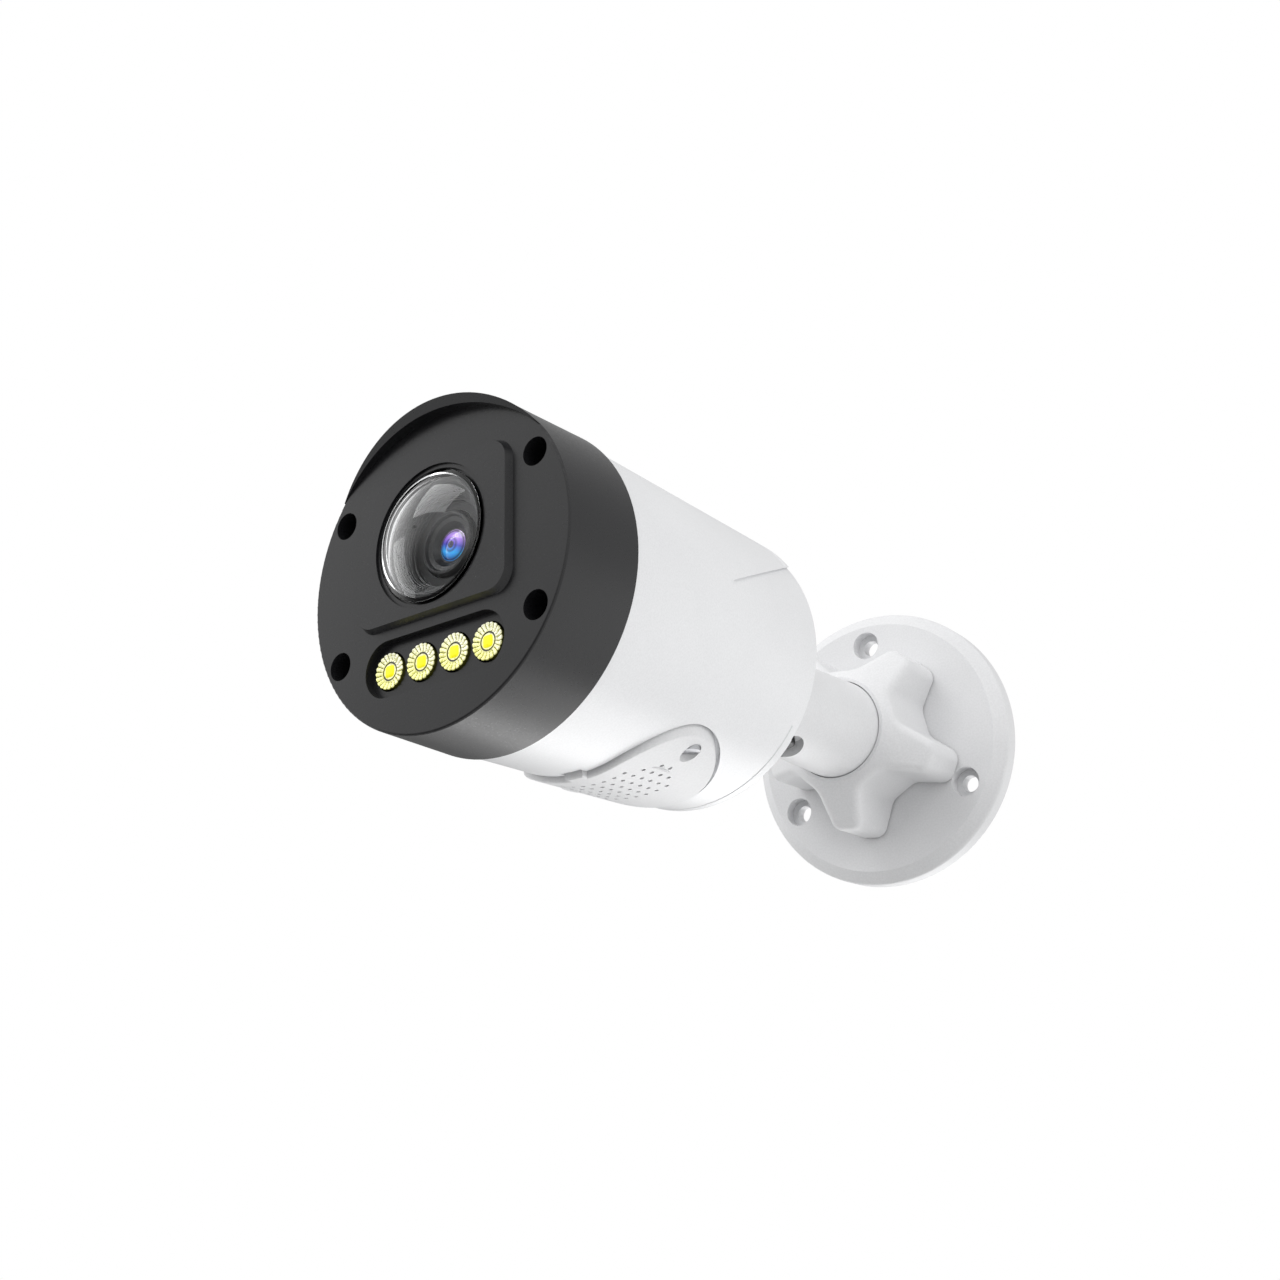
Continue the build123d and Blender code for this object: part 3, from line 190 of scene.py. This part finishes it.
def map_range(tree, value, source, target=(0.0, 1.0), interpolation="LINEAR"):
    """Maps a value from a source range onto a target range, and clamps it there."""
    node = tree.nodes.new("ShaderNodeMapRange")
    node.interpolation_type = interpolation
    node.inputs["From Min"].default_value, node.inputs["From Max"].default_value = source
    node.inputs["To Min"].default_value, node.inputs["To Max"].default_value = target
    tree.links.new(value, node.inputs["Value"])
    return node.outputs["Result"]


def spread(tree, value, low, high):
    """Maps a noise's middle half onto a range."""
    return map_range(tree, value, (0.25, 0.75), (low, high))


def vector_math(tree, operation, vector, constant=None):
    """A vector node on a socket and, where the operation takes one, a constant vector."""
    node = tree.nodes.new("ShaderNodeVectorMath")
    node.operation = operation
    tree.links.new(vector, node.inputs[0])
    if constant is not None:
        node.inputs[1].default_value = constant
    return node


def mix(tree, mode, factor, first, second):
    """Mixes two colours; the factor and the colours are constants or sockets."""
    node = tree.nodes.new("ShaderNodeMix")
    node.data_type = "RGBA"
    node.blend_type = mode
    # A Mix node's colour sockets are its seventh and eighth, and its colour output the third.
    for index, value in ((0, factor), (6, first), (7, second)):
        if isinstance(value, bpy.types.NodeSocket):
            tree.links.new(value, node.inputs[index])
        else:
            node.inputs[index].default_value = value
    return node.outputs[2]


def bump(tree, shader, height, depth, below=None):
    """Adds surface relief of a real depth in metres, on top of another bump if there is one."""
    node = tree.nodes.new("ShaderNodeBump")
    node.inputs["Distance"].default_value = depth
    tree.links.new(height, node.inputs["Height"])
    if below is not None:
        tree.links.new(below.outputs["Normal"], node.inputs["Normal"])
    tree.links.new(node.outputs["Normal"], shader.inputs["Normal"])
    return node


def moulded(name, dark, light, roughness, grain=1800.0, grain_depth=0.02 * MM,
            wave=60.0, wave_depth=0.02 * MM, coat=0.0, coat_roughness=0.2, metallic=0.0,
            stretch=None):
    """A moulded or coated surface: soft colour drift, fine grain and slight waviness."""
    material, tree, shader = material_nodes(name)
    drift = noise_texture(tree, wave, detail=4.0)
    speck = noise_texture(tree, grain, detail=2.0, stretch=stretch)
    base = ramp(tree, drift, [(0.3, dark), (0.7, light)])
    fleck = ramp(tree, speck, [(0.3, (0.93, 0.93, 0.93)), (0.7, (1.0, 1.0, 1.0))])
    tree.links.new(mix(tree, "MULTIPLY", 1.0, base, fleck), shader.inputs["Base Color"])
    tree.links.new(spread(tree, speck, *roughness), shader.inputs["Roughness"])
    shader.inputs["Metallic"].default_value = metallic
    shader.inputs["Coat Weight"].default_value = coat
    shader.inputs["Coat Roughness"].default_value = coat_roughness
    waviness = bump(tree, shader, drift, wave_depth)
    bump(tree, shader, speck, grain_depth, below=waviness)
    return material


def brushed(name, dark, light):
    """Bright metal with fine tool marks along X."""
    return moulded(name, dark, light, (0.25, 0.42), grain=900.0, grain_depth=0.006 * MM,
                   wave=220.0, wave_depth=0.004 * MM, metallic=1.0, stretch=(1.0, 60.0, 60.0))


def clear_glass(name, tint, roughness, ior, film=None):
    """Clear moulding or lens glass, with a faint haze and an optional thin coating."""
    material, tree, shader = material_nodes(name)
    haze = noise_texture(tree, 90.0, detail=4.0)
    tree.links.new(spread(tree, haze, *roughness), shader.inputs["Roughness"])
    clearer = tuple(min(1.0, channel * 1.02) for channel in tint)
    tree.links.new(ramp(tree, haze, [(0.3, tint), (0.7, clearer)]), shader.inputs["Base Color"])
    shader.inputs["Transmission Weight"].default_value = 1.0
    shader.inputs["IOR"].default_value = ior
    if film is not None:
        shader.inputs["Thin Film Thickness"].default_value = film
        shader.inputs["Thin Film IOR"].default_value = 1.38
    return material


white_paint = moulded("white_paint", (0.825, 0.830, 0.842), (0.860, 0.865, 0.877),
                      (0.30, 0.42), grain=2600.0, grain_depth=0.012 * MM, wave=38.0,
                      wave_depth=0.03 * MM, coat=0.25, coat_roughness=0.22)
white_plastic = moulded("white_plastic", (0.745, 0.748, 0.758), (0.785, 0.788, 0.798),
                        (0.34, 0.5), grain=1900.0, grain_depth=0.016 * MM, wave=45.0,
                        wave_depth=0.03 * MM)
dark_plastic = moulded("dark_plastic", (0.0095, 0.0096, 0.0108), (0.0125, 0.0127, 0.0140),
                       (0.26, 0.36), grain=2200.0, grain_depth=0.010 * MM, wave=50.0,
                       wave_depth=0.015 * MM)
rubber = moulded("rubber", (0.016, 0.016, 0.017), (0.026, 0.026, 0.027), (0.65, 0.85),
                 grain=1200.0, grain_depth=0.03 * MM)
lens_black = moulded("lens_black", (0.010, 0.010, 0.011), (0.018, 0.018, 0.019), (0.30, 0.45),
                     grain=1500.0, grain_depth=0.01 * MM)
black_steel = moulded("black_steel", (0.012, 0.012, 0.013), (0.03, 0.03, 0.032), (0.3, 0.45),
                      grain=700.0, grain_depth=0.01 * MM, metallic=0.6)
bright_steel = brushed("bright_steel", (0.52, 0.53, 0.55), (0.66, 0.66, 0.68))
brass = brushed("brass", (0.62, 0.45, 0.20), (0.74, 0.56, 0.27))
nylon = moulded("nylon", (0.66, 0.64, 0.57), (0.72, 0.70, 0.63), (0.4, 0.55))
board_green = moulded("board_green", (0.012, 0.10, 0.04), (0.02, 0.15, 0.06), (0.3, 0.45),
                      grain=500.0, wave=300.0, coat=0.4)
board_black = moulded("board_black", (0.010, 0.010, 0.011), (0.022, 0.022, 0.024), (0.3, 0.5),
                      grain=500.0, wave=300.0)
chip_black = moulded("chip_black", (0.012, 0.012, 0.013), (0.022, 0.022, 0.024), (0.25, 0.4))
paper = moulded("speaker_paper", (0.02, 0.02, 0.02), (0.04, 0.04, 0.04), (0.7, 0.9),
                grain=800.0, grain_depth=0.04 * MM)
window_clear = clear_glass("window_clear", (0.97, 0.98, 0.99), (0.0, 0.004), 1.45)
filter_clear = clear_glass("filter_clear", (0.92, 0.96, 0.96), (0.0, 0.03), 1.5)
filter_red = clear_glass("filter_red", (0.55, 0.85, 0.9), (0.0, 0.03), 1.5, film=480.0)

# The finish of each of the record's material slots, for the CAD nodes that stay. The lamps'
# own slots are left out, because their nodes are replaced below.
CAD_FINISHES = {
    "white_paint": white_paint,
    "white_plastic": white_plastic,
    "dark_plastic": dark_plastic,
    "lens_black": lens_black,
    "window_clear": window_clear,
    "lens_glass": filter_clear,
    "filter_red": filter_red,
    "filter_clear": filter_clear,
    "rubber_black": rubber,
    "black_steel": black_steel,
    "bright_steel": bright_steel,
    "brass": brass,
    "nylon": nylon,
    "board_green": board_green,
    "board_black": board_black,
    "chip_black": chip_black,
    "speaker_paper": paper,
    "card_black": chip_black,
}
for subpart in frame["record"]["subparts"]:
    node = frame["nodes"][subpart["node"]]
    finish = CAD_FINISHES.get(subpart["material_slot"])
    if finish is not None:
        node.data.materials.clear()
        node.data.materials.append(finish)


# ------------------------------------------------------------------- camera
# The view's own orbit: where the camera stands, seen from the middle of the
# front face, and where that middle falls in the picture.
FACE = Vector((0.0, -190.0 * MM, 0.0))
AZIMUTH = math.radians(36.53)
ELEVATION = math.radians(-19.91)
ROLL = math.radians(-1.79)
DISTANCE = 277.70 * MM
SHIFT_RIGHT = 40.82 * MM
SHIFT_UP = -15.34 * MM
FOCAL_LENGTH = 39.35             # millimetres, on a sensor 36 mm wide


def make_camera():
    """Stands the camera on its orbit, rolled and moved sideways as the picture is framed."""
    back = Vector((
        math.sin(AZIMUTH) * math.cos(ELEVATION),
        -math.cos(AZIMUTH) * math.cos(ELEVATION),
        math.sin(ELEVATION),
    ))
    level_right = (-back).cross(Vector((0, 0, 1))).normalized()
    level_up = level_right.cross(-back)
    right = level_right * math.cos(ROLL) + level_up * math.sin(ROLL)
    up = level_up * math.cos(ROLL) - level_right * math.sin(ROLL)
    data = bpy.data.cameras.new("photo_camera")
    data.lens = FOCAL_LENGTH
    data.clip_start = 0.01
    data.clip_end = 50.0
    camera = bpy.data.objects.new("photo_camera", data)
    bpy.context.scene.collection.objects.link(camera)
    place_at = FACE + back * DISTANCE + right * SHIFT_RIGHT + up * SHIFT_UP
    camera.matrix_world = Matrix((
        (right.x, up.x, back.x, place_at.x),
        (right.y, up.y, back.y, place_at.y),
        (right.z, up.z, back.z, place_at.z),
        (0, 0, 0, 1),
    ))
    bpy.context.scene.camera = camera


# ----------------------------------------------------------- floor and light
FLOOR_Z = -1.2                   # far below, as the bracket hangs on a wall
FLOOR_RADIUS = 1.0
WALLS = 0.86                     # brightness of the studio's walls between the patches
# Soft patches of the studio's walls: (direction, cosine where the patch begins,
# cosine where it is full, how much lighter or darker it is)
PATCHES = [
    ((0.10, 0.72, 0.68), 0.55, 0.95, -0.32),
    ((0.62, 0.73, -0.28), 0.88, 0.98, 0.30),
    ((-0.20, 0.71, -0.67), 0.88, 0.985, 3.0),
    ((-0.73, 0.66, 0.05), 0.90, 0.995, -0.66),
    ((-0.94, -0.08, 0.32), 0.80, 0.95, 0.3),
    ((-0.50, -0.75, 0.43), 0.60, 0.95, 0.18),
    ((-0.30, -0.75, -0.60), 0.45, 0.85, -0.72),
]
# Soft lights that don't show in reflections: name, place from the object's
# middle, width and height, watts
LIGHTS = [
    ("key", (-0.35, -0.65, 0.85), (0.8, 0.6), 4.2),
    ("side", (-1.1, -0.45, 0.0), (0.5, 0.9), 2.0),
    ("fill", (1.0, -0.45, 0.55), (0.7, 0.7), 2.9),
]


def make_floor():
    """A plain pale disc under everything."""
    bm = bmesh.new()
    bmesh.ops.create_circle(bm, cap_ends=True, segments=96, radius=FLOOR_RADIUS)
    bmesh.ops.translate(bm, verts=bm.verts, vec=(0, 0, FLOOR_Z))
    material, tree, shader = material_nodes("floor_paper")
    shade = noise_texture(tree, 3.0)
    tree.links.new(ramp(tree, shade, [(0.3, (0.93, 0.93, 0.93)), (0.7, (0.95, 0.95, 0.95))]),
                   shader.inputs["Base Color"])
    shader.inputs["Roughness"].default_value = 0.9
    shader.inputs["Specular IOR Level"].default_value = 0.1
    floor = new_object("floor", bm, material)


def area_light(name, place_at, aim, size, power):
    """A soft rectangular light that shows neither to the camera nor in reflections."""
    data = bpy.data.lights.new(name, "AREA")
    data.shape = "RECTANGLE"
    data.size, data.size_y = size
    data.energy = power
    light = bpy.data.objects.new(name, data)
    bpy.context.scene.collection.objects.link(light)
    light.location = place_at
    light.rotation_euler = (aim - place_at).to_track_quat("-Z", "Y").to_euler()
    light.visible_glossy = False
    light.visible_camera = False


def make_studio():
    """Pale walls all round with soft lighter and darker patches, plain white to the camera."""
    world = bpy.data.worlds.new("studio")
    bpy.context.scene.world = world
    world.use_nodes = True
    tree = world.node_tree
    coordinates = tree.nodes.new("ShaderNodeTexCoord")
    total = None
    for direction, begins, full, amount in PATCHES:
        facing = vector_math(tree, "DOT_PRODUCT", coordinates.outputs["Generated"],
                             Vector(direction).normalized())
        patch = map_range(tree, facing.outputs["Value"], (begins, full), (0.0, amount),
                          interpolation="SMOOTHSTEP")
        add = tree.nodes.new("ShaderNodeMath")
        tree.links.new(patch, add.inputs[0])
        if total is None:
            add.inputs[1].default_value = WALLS
        else:
            tree.links.new(total, add.inputs[1])
        total = add.outputs["Value"]
    seen = tree.nodes.new("ShaderNodeLightPath")
    tree.links.new(
        mix(tree, "MIX", seen.outputs["Is Camera Ray"], total, (1.0, 1.0, 1.0, 1.0)),
        tree.nodes["Background"].inputs["Color"])


def make_lights():
    """The soft lights round the object, and the view transform that keeps its plain tones."""
    low, high = cad_box
    centre = (low + high) / 2
    for name, offset, size, power in LIGHTS:
        area_light(name, centre + Vector(offset), centre, size, power)
    bpy.context.scene.view_settings.view_transform = "Standard"


# ---------------------------------------------------------------- lamp lenses
LAMPS = range(1, 5)
PETALS = 20
PETAL_STEPS = 10                 # points round each petal
PETAL_ROUNDNESS = 0.6            # under 1 makes the crowns fuller and the creases narrower
SCALLOP = 0.05                   # share of the radius that the creases lose at the rim
SCALLOP_FROM = 0.8               # share of the radius where the scallops begin
LENS_MARGIN = 0.95               # share of the CAD lens's radius that the petals fill
# A lamp lens's section from its bore to its back:
# (share of the radius, depth behind the front, dip between petals, painted shade and highlight:
# low values are painted shade, high ones painted highlights)
PETAL_SECTION = [
    (0.28, 3.60 * MM, 0.0, 0.10),
    (0.28, 0.50 * MM, 0.0, 0.50),
    (0.43, 0.42 * MM, 0.0, 0.50),
    (0.440, 0.60 * MM, 0.0, 0.0),
    (0.525, 0.60 * MM, 0.0, 0.0),
    (0.535, 0.38 * MM, 0.0, 0.70),
    (0.55, 0.34 * MM, 0.05 * MM, 1.00),
    (0.62, 0.44 * MM, 0.30 * MM, 0.85),
    (0.70, 0.34 * MM, 0.45 * MM, 1.00),
    (0.735, 0.30 * MM, 0.40 * MM, 0.45),
    (0.76, 0.28 * MM, 0.35 * MM, 0.95),
    (0.85, 0.16 * MM, 0.45 * MM, 1.00),
    (0.885, 0.12 * MM, 0.40 * MM, 0.50),
    (0.91, 0.08 * MM, 0.35 * MM, 0.95),
    (0.965, 0.04 * MM, 0.35 * MM, 1.00),
    (1.0, 0.22 * MM, 0.10 * MM, 0.55),
    (1.0, 0.50 * MM, 0.0, 0.05),
    (0.60, 4.60 * MM, 0.0, 0.05),
]
PAINTED_SHADE_AND_HIGHLIGHT = "shade"                  # point attribute of painted light: 0 is painted shade in the creases, 1 a painted highlight on the crowns
PAINTED_REFLECTION = "painted_reflection"                # point attribute of the painted yellow reflection: 0 at the upper right, 1 opposite
PAINTED_REFLECTION_TURN = 0.6                # radians from straight up to where the painted reflection is weakest
CHIP_HALF_WIDTH = 1.22 * MM
CHIP_DEPTH = 0.20 * MM           # the chip's front behind the lens's front
CHIP_SQUARENESS = 5              # 2 is a circle, and more is squarer
CHIP_STEPS = 64
# A chip's front and sides: (share of the half width, depth behind its front)
CHIP_SECTION = [
    (0.5, 0.02 * MM),
    (0.85, 0.08 * MM),
    (1.0, 0.22 * MM),
    (1.0, 0.50 * MM),
    (0.75, 0.55 * MM),
]


def point_value(tree, name):
    """A value that the mesh's points carry."""
    node = tree.nodes.new("ShaderNodeAttribute")
    node.attribute_name = name
    return node.outputs["Fac"]


def lamp_material():
    """Clear moulded petals over a lamp, with painted light: painted highlights on the crowns,
    painted shade in the creases, a painted yellow reflection of the chip below, random painted
    glints and a painted glow.
    """
    material, tree, shader = material_nodes("lamp_clear")
    # Painted shade in the creases and painted highlights on the crowns.
    crown = ramp(tree, point_value(tree, PAINTED_SHADE_AND_HIGHLIGHT), [
        (0.0, (0.008, 0.007, 0.002)),
        (0.22, (0.12, 0.12, 0.02)),
        (0.42, (0.86, 0.85, 0.50)),
        (1.0, (1.0, 1.0, 0.88)),
    ])
    # Painted yellow reflection of the chip, strongest on the lower left petals.
    painted_reflection_tint = ramp(tree, point_value(tree, PAINTED_REFLECTION), [
        (0.25, (1.0, 1.0, 1.0)),
        (0.90, (1.0, 0.99, 0.50)),
    ])
    fleck = noise_texture(tree, 1700.0, detail=2.0)
    glints = ramp(tree, fleck, [(0.34, (0.62, 0.63, 0.34)), (0.48, (1.0, 1.0, 1.0))])
    colour = mix(tree, "MULTIPLY", 1.0, mix(tree, "MULTIPLY", 1.0, crown, painted_reflection_tint), glints)
    tree.links.new(colour, shader.inputs["Base Color"])
    # Painted glow: the petals give off light in their own painted colour.
    tree.links.new(colour, shader.inputs["Emission Color"])
    shader.inputs["Emission Strength"].default_value = 0.42
    tree.links.new(spread(tree, fleck, 0.12, 0.3), shader.inputs["Roughness"])
    shader.inputs["Coat Weight"].default_value = 1.0
    shader.inputs["Coat Roughness"].default_value = 0.05
    bump(tree, shader, fleck, 0.03 * MM)
    return material


def phosphor_material():
    """Yellow phosphor, with a painted glow that stands in for the fluorescence it has in bright
    light.
    """
    material, tree, shader = material_nodes("lamp_phosphor")
    grain = noise_texture(tree, 2600.0, detail=3.0)
    yellow = ramp(tree, grain, [(0.3, (0.86, 0.78, 0.0)), (0.7, (1.0, 0.97, 0.02))])
    tree.links.new(yellow, shader.inputs["Base Color"])
    tree.links.new(spread(tree, grain, 0.3, 0.5), shader.inputs["Roughness"])
    # Painted glow, standing in for fluorescence.
    tree.links.new(yellow, shader.inputs["Emission Color"])
    shader.inputs["Emission Strength"].default_value = 0.35
    bump(tree, shader, grain, 0.02 * MM)
    return material


def petal_lens(number, material):
    """A moulded lamp lens: steps of rounded petals round a ring and its groove, with painted shade
    in the groove, creases and steps, painted highlights on the crowns, and a painted yellow
    reflection.
    """
    node = f"lamp_lens_{number}"
    low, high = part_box(node)
    centre = middle(node)
    radius = (high.x - low.x) / 2 * LENS_MARGIN
    bm = bmesh.new()
    painted_light_layer = bm.verts.layers.float.new(PAINTED_SHADE_AND_HIGHLIGHT)
    painted_reflection_layer = bm.verts.layers.float.new(PAINTED_REFLECTION)
    rings = []
    for share, depth, dip, brightness in PETAL_SECTION:
        ring = []
        for turn in turns(PETALS * PETAL_STEPS):
            crown = abs(math.cos(turn * PETALS / 2)) ** PETAL_ROUNDNESS
            reach = radius * share
            if share > SCALLOP_FROM:
                reach *= 1 - SCALLOP * (1 - crown)
            vert = bm.verts.new((
                centre.x + reach * math.cos(turn),
                low.y + depth + dip * (1 - crown),
                centre.z + reach * math.sin(turn),
            ))
            # Painted shade and highlight of this ring, darker in the creases between petals.
            vert[painted_light_layer] = brightness * (crown if dip else 1.0)
            # Painted yellow reflection: none at the upper right, most at the lower left.
            vert[painted_reflection_layer] = 0.5 - 0.5 * share * math.sin(turn + PAINTED_REFLECTION_TURN)
            ring.append(vert)
        rings.append(ring)
    skin(bm, rings, closed=True)
    piece = new_object(f"petal_lens_{number}", bm, material, PETAL_SMOOTH_ANGLE)
    place(piece, HEAD, "lamp_clear", node)


def phosphor_chip(number, material):
    """A rounded square of phosphor, slightly domed, seen at the middle of its lens."""
    node = f"lamp_chip_{number}"
    centre = middle(node)
    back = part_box(node)[1].y
    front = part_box(f"lamp_lens_{number}")[0].y + CHIP_DEPTH
    sides = [(share, front + depth) for share, depth in CHIP_SECTION]
    narrowest = CHIP_SECTION[-1][0]
    bm = bmesh.new()
    rings = [[bm.verts.new((centre.x, front, centre.z))]]
    for share, y in sides + [(narrowest, back)]:
        ring = []
        for turn in turns(CHIP_STEPS):
            cos, sin = math.cos(turn), math.sin(turn)
            powers = abs(cos) ** CHIP_SQUARENESS + abs(sin) ** CHIP_SQUARENESS
            reach = CHIP_HALF_WIDTH * share / powers ** (1 / CHIP_SQUARENESS)
            ring.append(bm.verts.new((centre.x + reach * cos, y, centre.z + reach * sin)))
        rings.append(ring)
    rings.append([bm.verts.new((centre.x, back, centre.z))])
    skin(bm, rings, closed=False)
    piece = new_object(f"phosphor_chip_{number}", bm, material)
    place(piece, HEAD, "lamp_phosphor", node)


# ---------------------------------------------------------------- lens module
WINDOW = middle("window_dome")
LENS_AXIS = (WINDOW.x, WINDOW.z)
LENS_VIEW_RADIUS = 3.4 * MM      # the coated glass inside the barrel's rim
PAINTED_HUE_REACH = 3.0 * MM            # how far up and down the painted reflection's hues change
LENS_RISE = 0.7 * MM
GROOVES = 7                      # turned steps of the baffle's funnel
GROOVE_SHARE = 0.55              # share of a step that slopes, before the next shoulder
GROOVE_LIP = 0.05 * MM
BAFFLE_LAND = 0.6 * MM           # flat ring at the baffle's front edge
FUNNEL_START = (0.8 * MM, 0.15 * MM)     # in from the rim, and behind the front
FUNNEL_END = (9.5 * MM, 2.9 * MM)        # radius, and behind the front
# The baffle's bore behind the funnel: (radius, depth behind the front)
BAFFLE_BORE = [
    (9.5 * MM, 3.6 * MM),
    (9.2 * MM, 3.7 * MM),
    (9.2 * MM, 4.5 * MM),
    (7.3 * MM, 4.5 * MM),
]


def painted_reflection_lens_material():
    """Coated lens glass with painted reflections: violet above, cyan below, in bright painted
    rings round a painted dark pupil, with a painted glow.
    """
    material, tree, shader = material_nodes("lens_glass")
    coordinates = tree.nodes.new("ShaderNodeTexCoord")
    centred = vector_math(tree, "SUBTRACT", coordinates.outputs["Object"],
                          (WINDOW.x, 0.0, WINDOW.z)).outputs["Vector"]
    flat = vector_math(tree, "MULTIPLY", centred, (1.0, 0.0, 1.0)).outputs["Vector"]
    distance = vector_math(tree, "LENGTH", flat).outputs["Value"]
    # Painted reflections and shade: a painted dark pupil, bright painted rings and painted shade
    # near the rim.
    rings = ramp(tree, map_range(tree, distance, (0.0, LENS_VIEW_RADIUS)), [
        (0.00, (0.03, 0.03, 0.07)),
        (0.20, (0.02, 0.02, 0.05)),
        (0.27, (0.55, 0.55, 0.75)),
        (0.40, (0.16, 0.16, 0.30)),
        (0.55, (0.65, 0.65, 0.80)),
        (0.80, (0.40, 0.40, 0.55)),
        (0.92, (0.05, 0.05, 0.08)),
        (1.00, (0.55, 0.55, 0.60)),
    ])
    height = vector_math(tree, "DOT_PRODUCT", centred, (0.35, 0.0, 0.94)).outputs["Value"]
    # Painted reflection colours of the coating: blue and cyan below, violet above.
    painted_reflection_hue = ramp(tree, map_range(tree, height, (-PAINTED_HUE_REACH, PAINTED_HUE_REACH)), [
        (0.00, (0.02, 0.22, 0.60)),
        (0.25, (0.05, 0.55, 0.95)),
        (0.50, (0.10, 0.10, 0.60)),
        (0.75, (0.60, 0.30, 0.95)),
        (1.00, (0.85, 0.60, 1.00)),
    ])
    colour = mix(tree, "MULTIPLY", 1.0, painted_reflection_hue, rings)
    tree.links.new(colour, shader.inputs["Base Color"])
    # Painted glow.
    tree.links.new(colour, shader.inputs["Emission Color"])
    shader.inputs["Emission Strength"].default_value = 0.9
    haze = noise_texture(tree, 400.0)
    tree.links.new(spread(tree, haze, 0.04, 0.10), shader.inputs["Roughness"])
    shader.inputs["Coat Weight"].default_value = 1.0
    shader.inputs["Coat Roughness"].default_value = 0.02
    return material


def make_baffle():
    """The lens's baffle: a funnel of turned steps with a bore for the barrel's nose."""
    low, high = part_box("lens_baffle")
    outer = (high.x - low.x) / 2
    start = (outer - FUNNEL_START[0], low.y + FUNNEL_START[1])
    end = (FUNNEL_END[0], low.y + FUNNEL_END[1])

    def along(share):
        """The point that far from the funnel's start to its end."""
        return tuple(first + (last - first) * share for first, last in zip(start, end))

    profile = [(outer, high.y), (outer, low.y), (outer - BAFFLE_LAND, low.y)]
    for groove in range(GROOVES):
        radius, depth = along(groove / GROOVES)
        next_radius, next_depth = along((groove + GROOVE_SHARE) / GROOVES)
        profile += [(radius, depth), (next_radius, depth + GROOVE_LIP), (next_radius, next_depth)]
    profile.append(end)
    profile += [(radius, low.y + depth) for radius, depth in BAFFLE_BORE]
    profile.append((BAFFLE_BORE[-1][0], high.y))
    baffle = lathe("turned_baffle", profile, LENS_AXIS, lens_black, segments=192)
    place(baffle, HEAD, "lens_black", "lens_baffle")


def make_front_lens():
    """The coated front lens, with a crowned face."""
    low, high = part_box("front_lens")
    radius = (high.x - low.x) / 2
    profile = crowned_front(radius, LENS_RISE, low.y, steps=16) + [(radius, high.y), (0.0, high.y)]
    glass = lathe("coated_lens", profile, LENS_AXIS, painted_reflection_lens_material(), segments=128,
                  closed=False)
    place(glass, HEAD, "lens_glass", "front_lens")


make_camera()
make_floor()
make_studio()
make_lights()
petals = lamp_material()
phosphor = phosphor_material()
for lamp in LAMPS:
    petal_lens(lamp, petals)
    phosphor_chip(lamp, phosphor)
make_baffle()
make_front_lens()
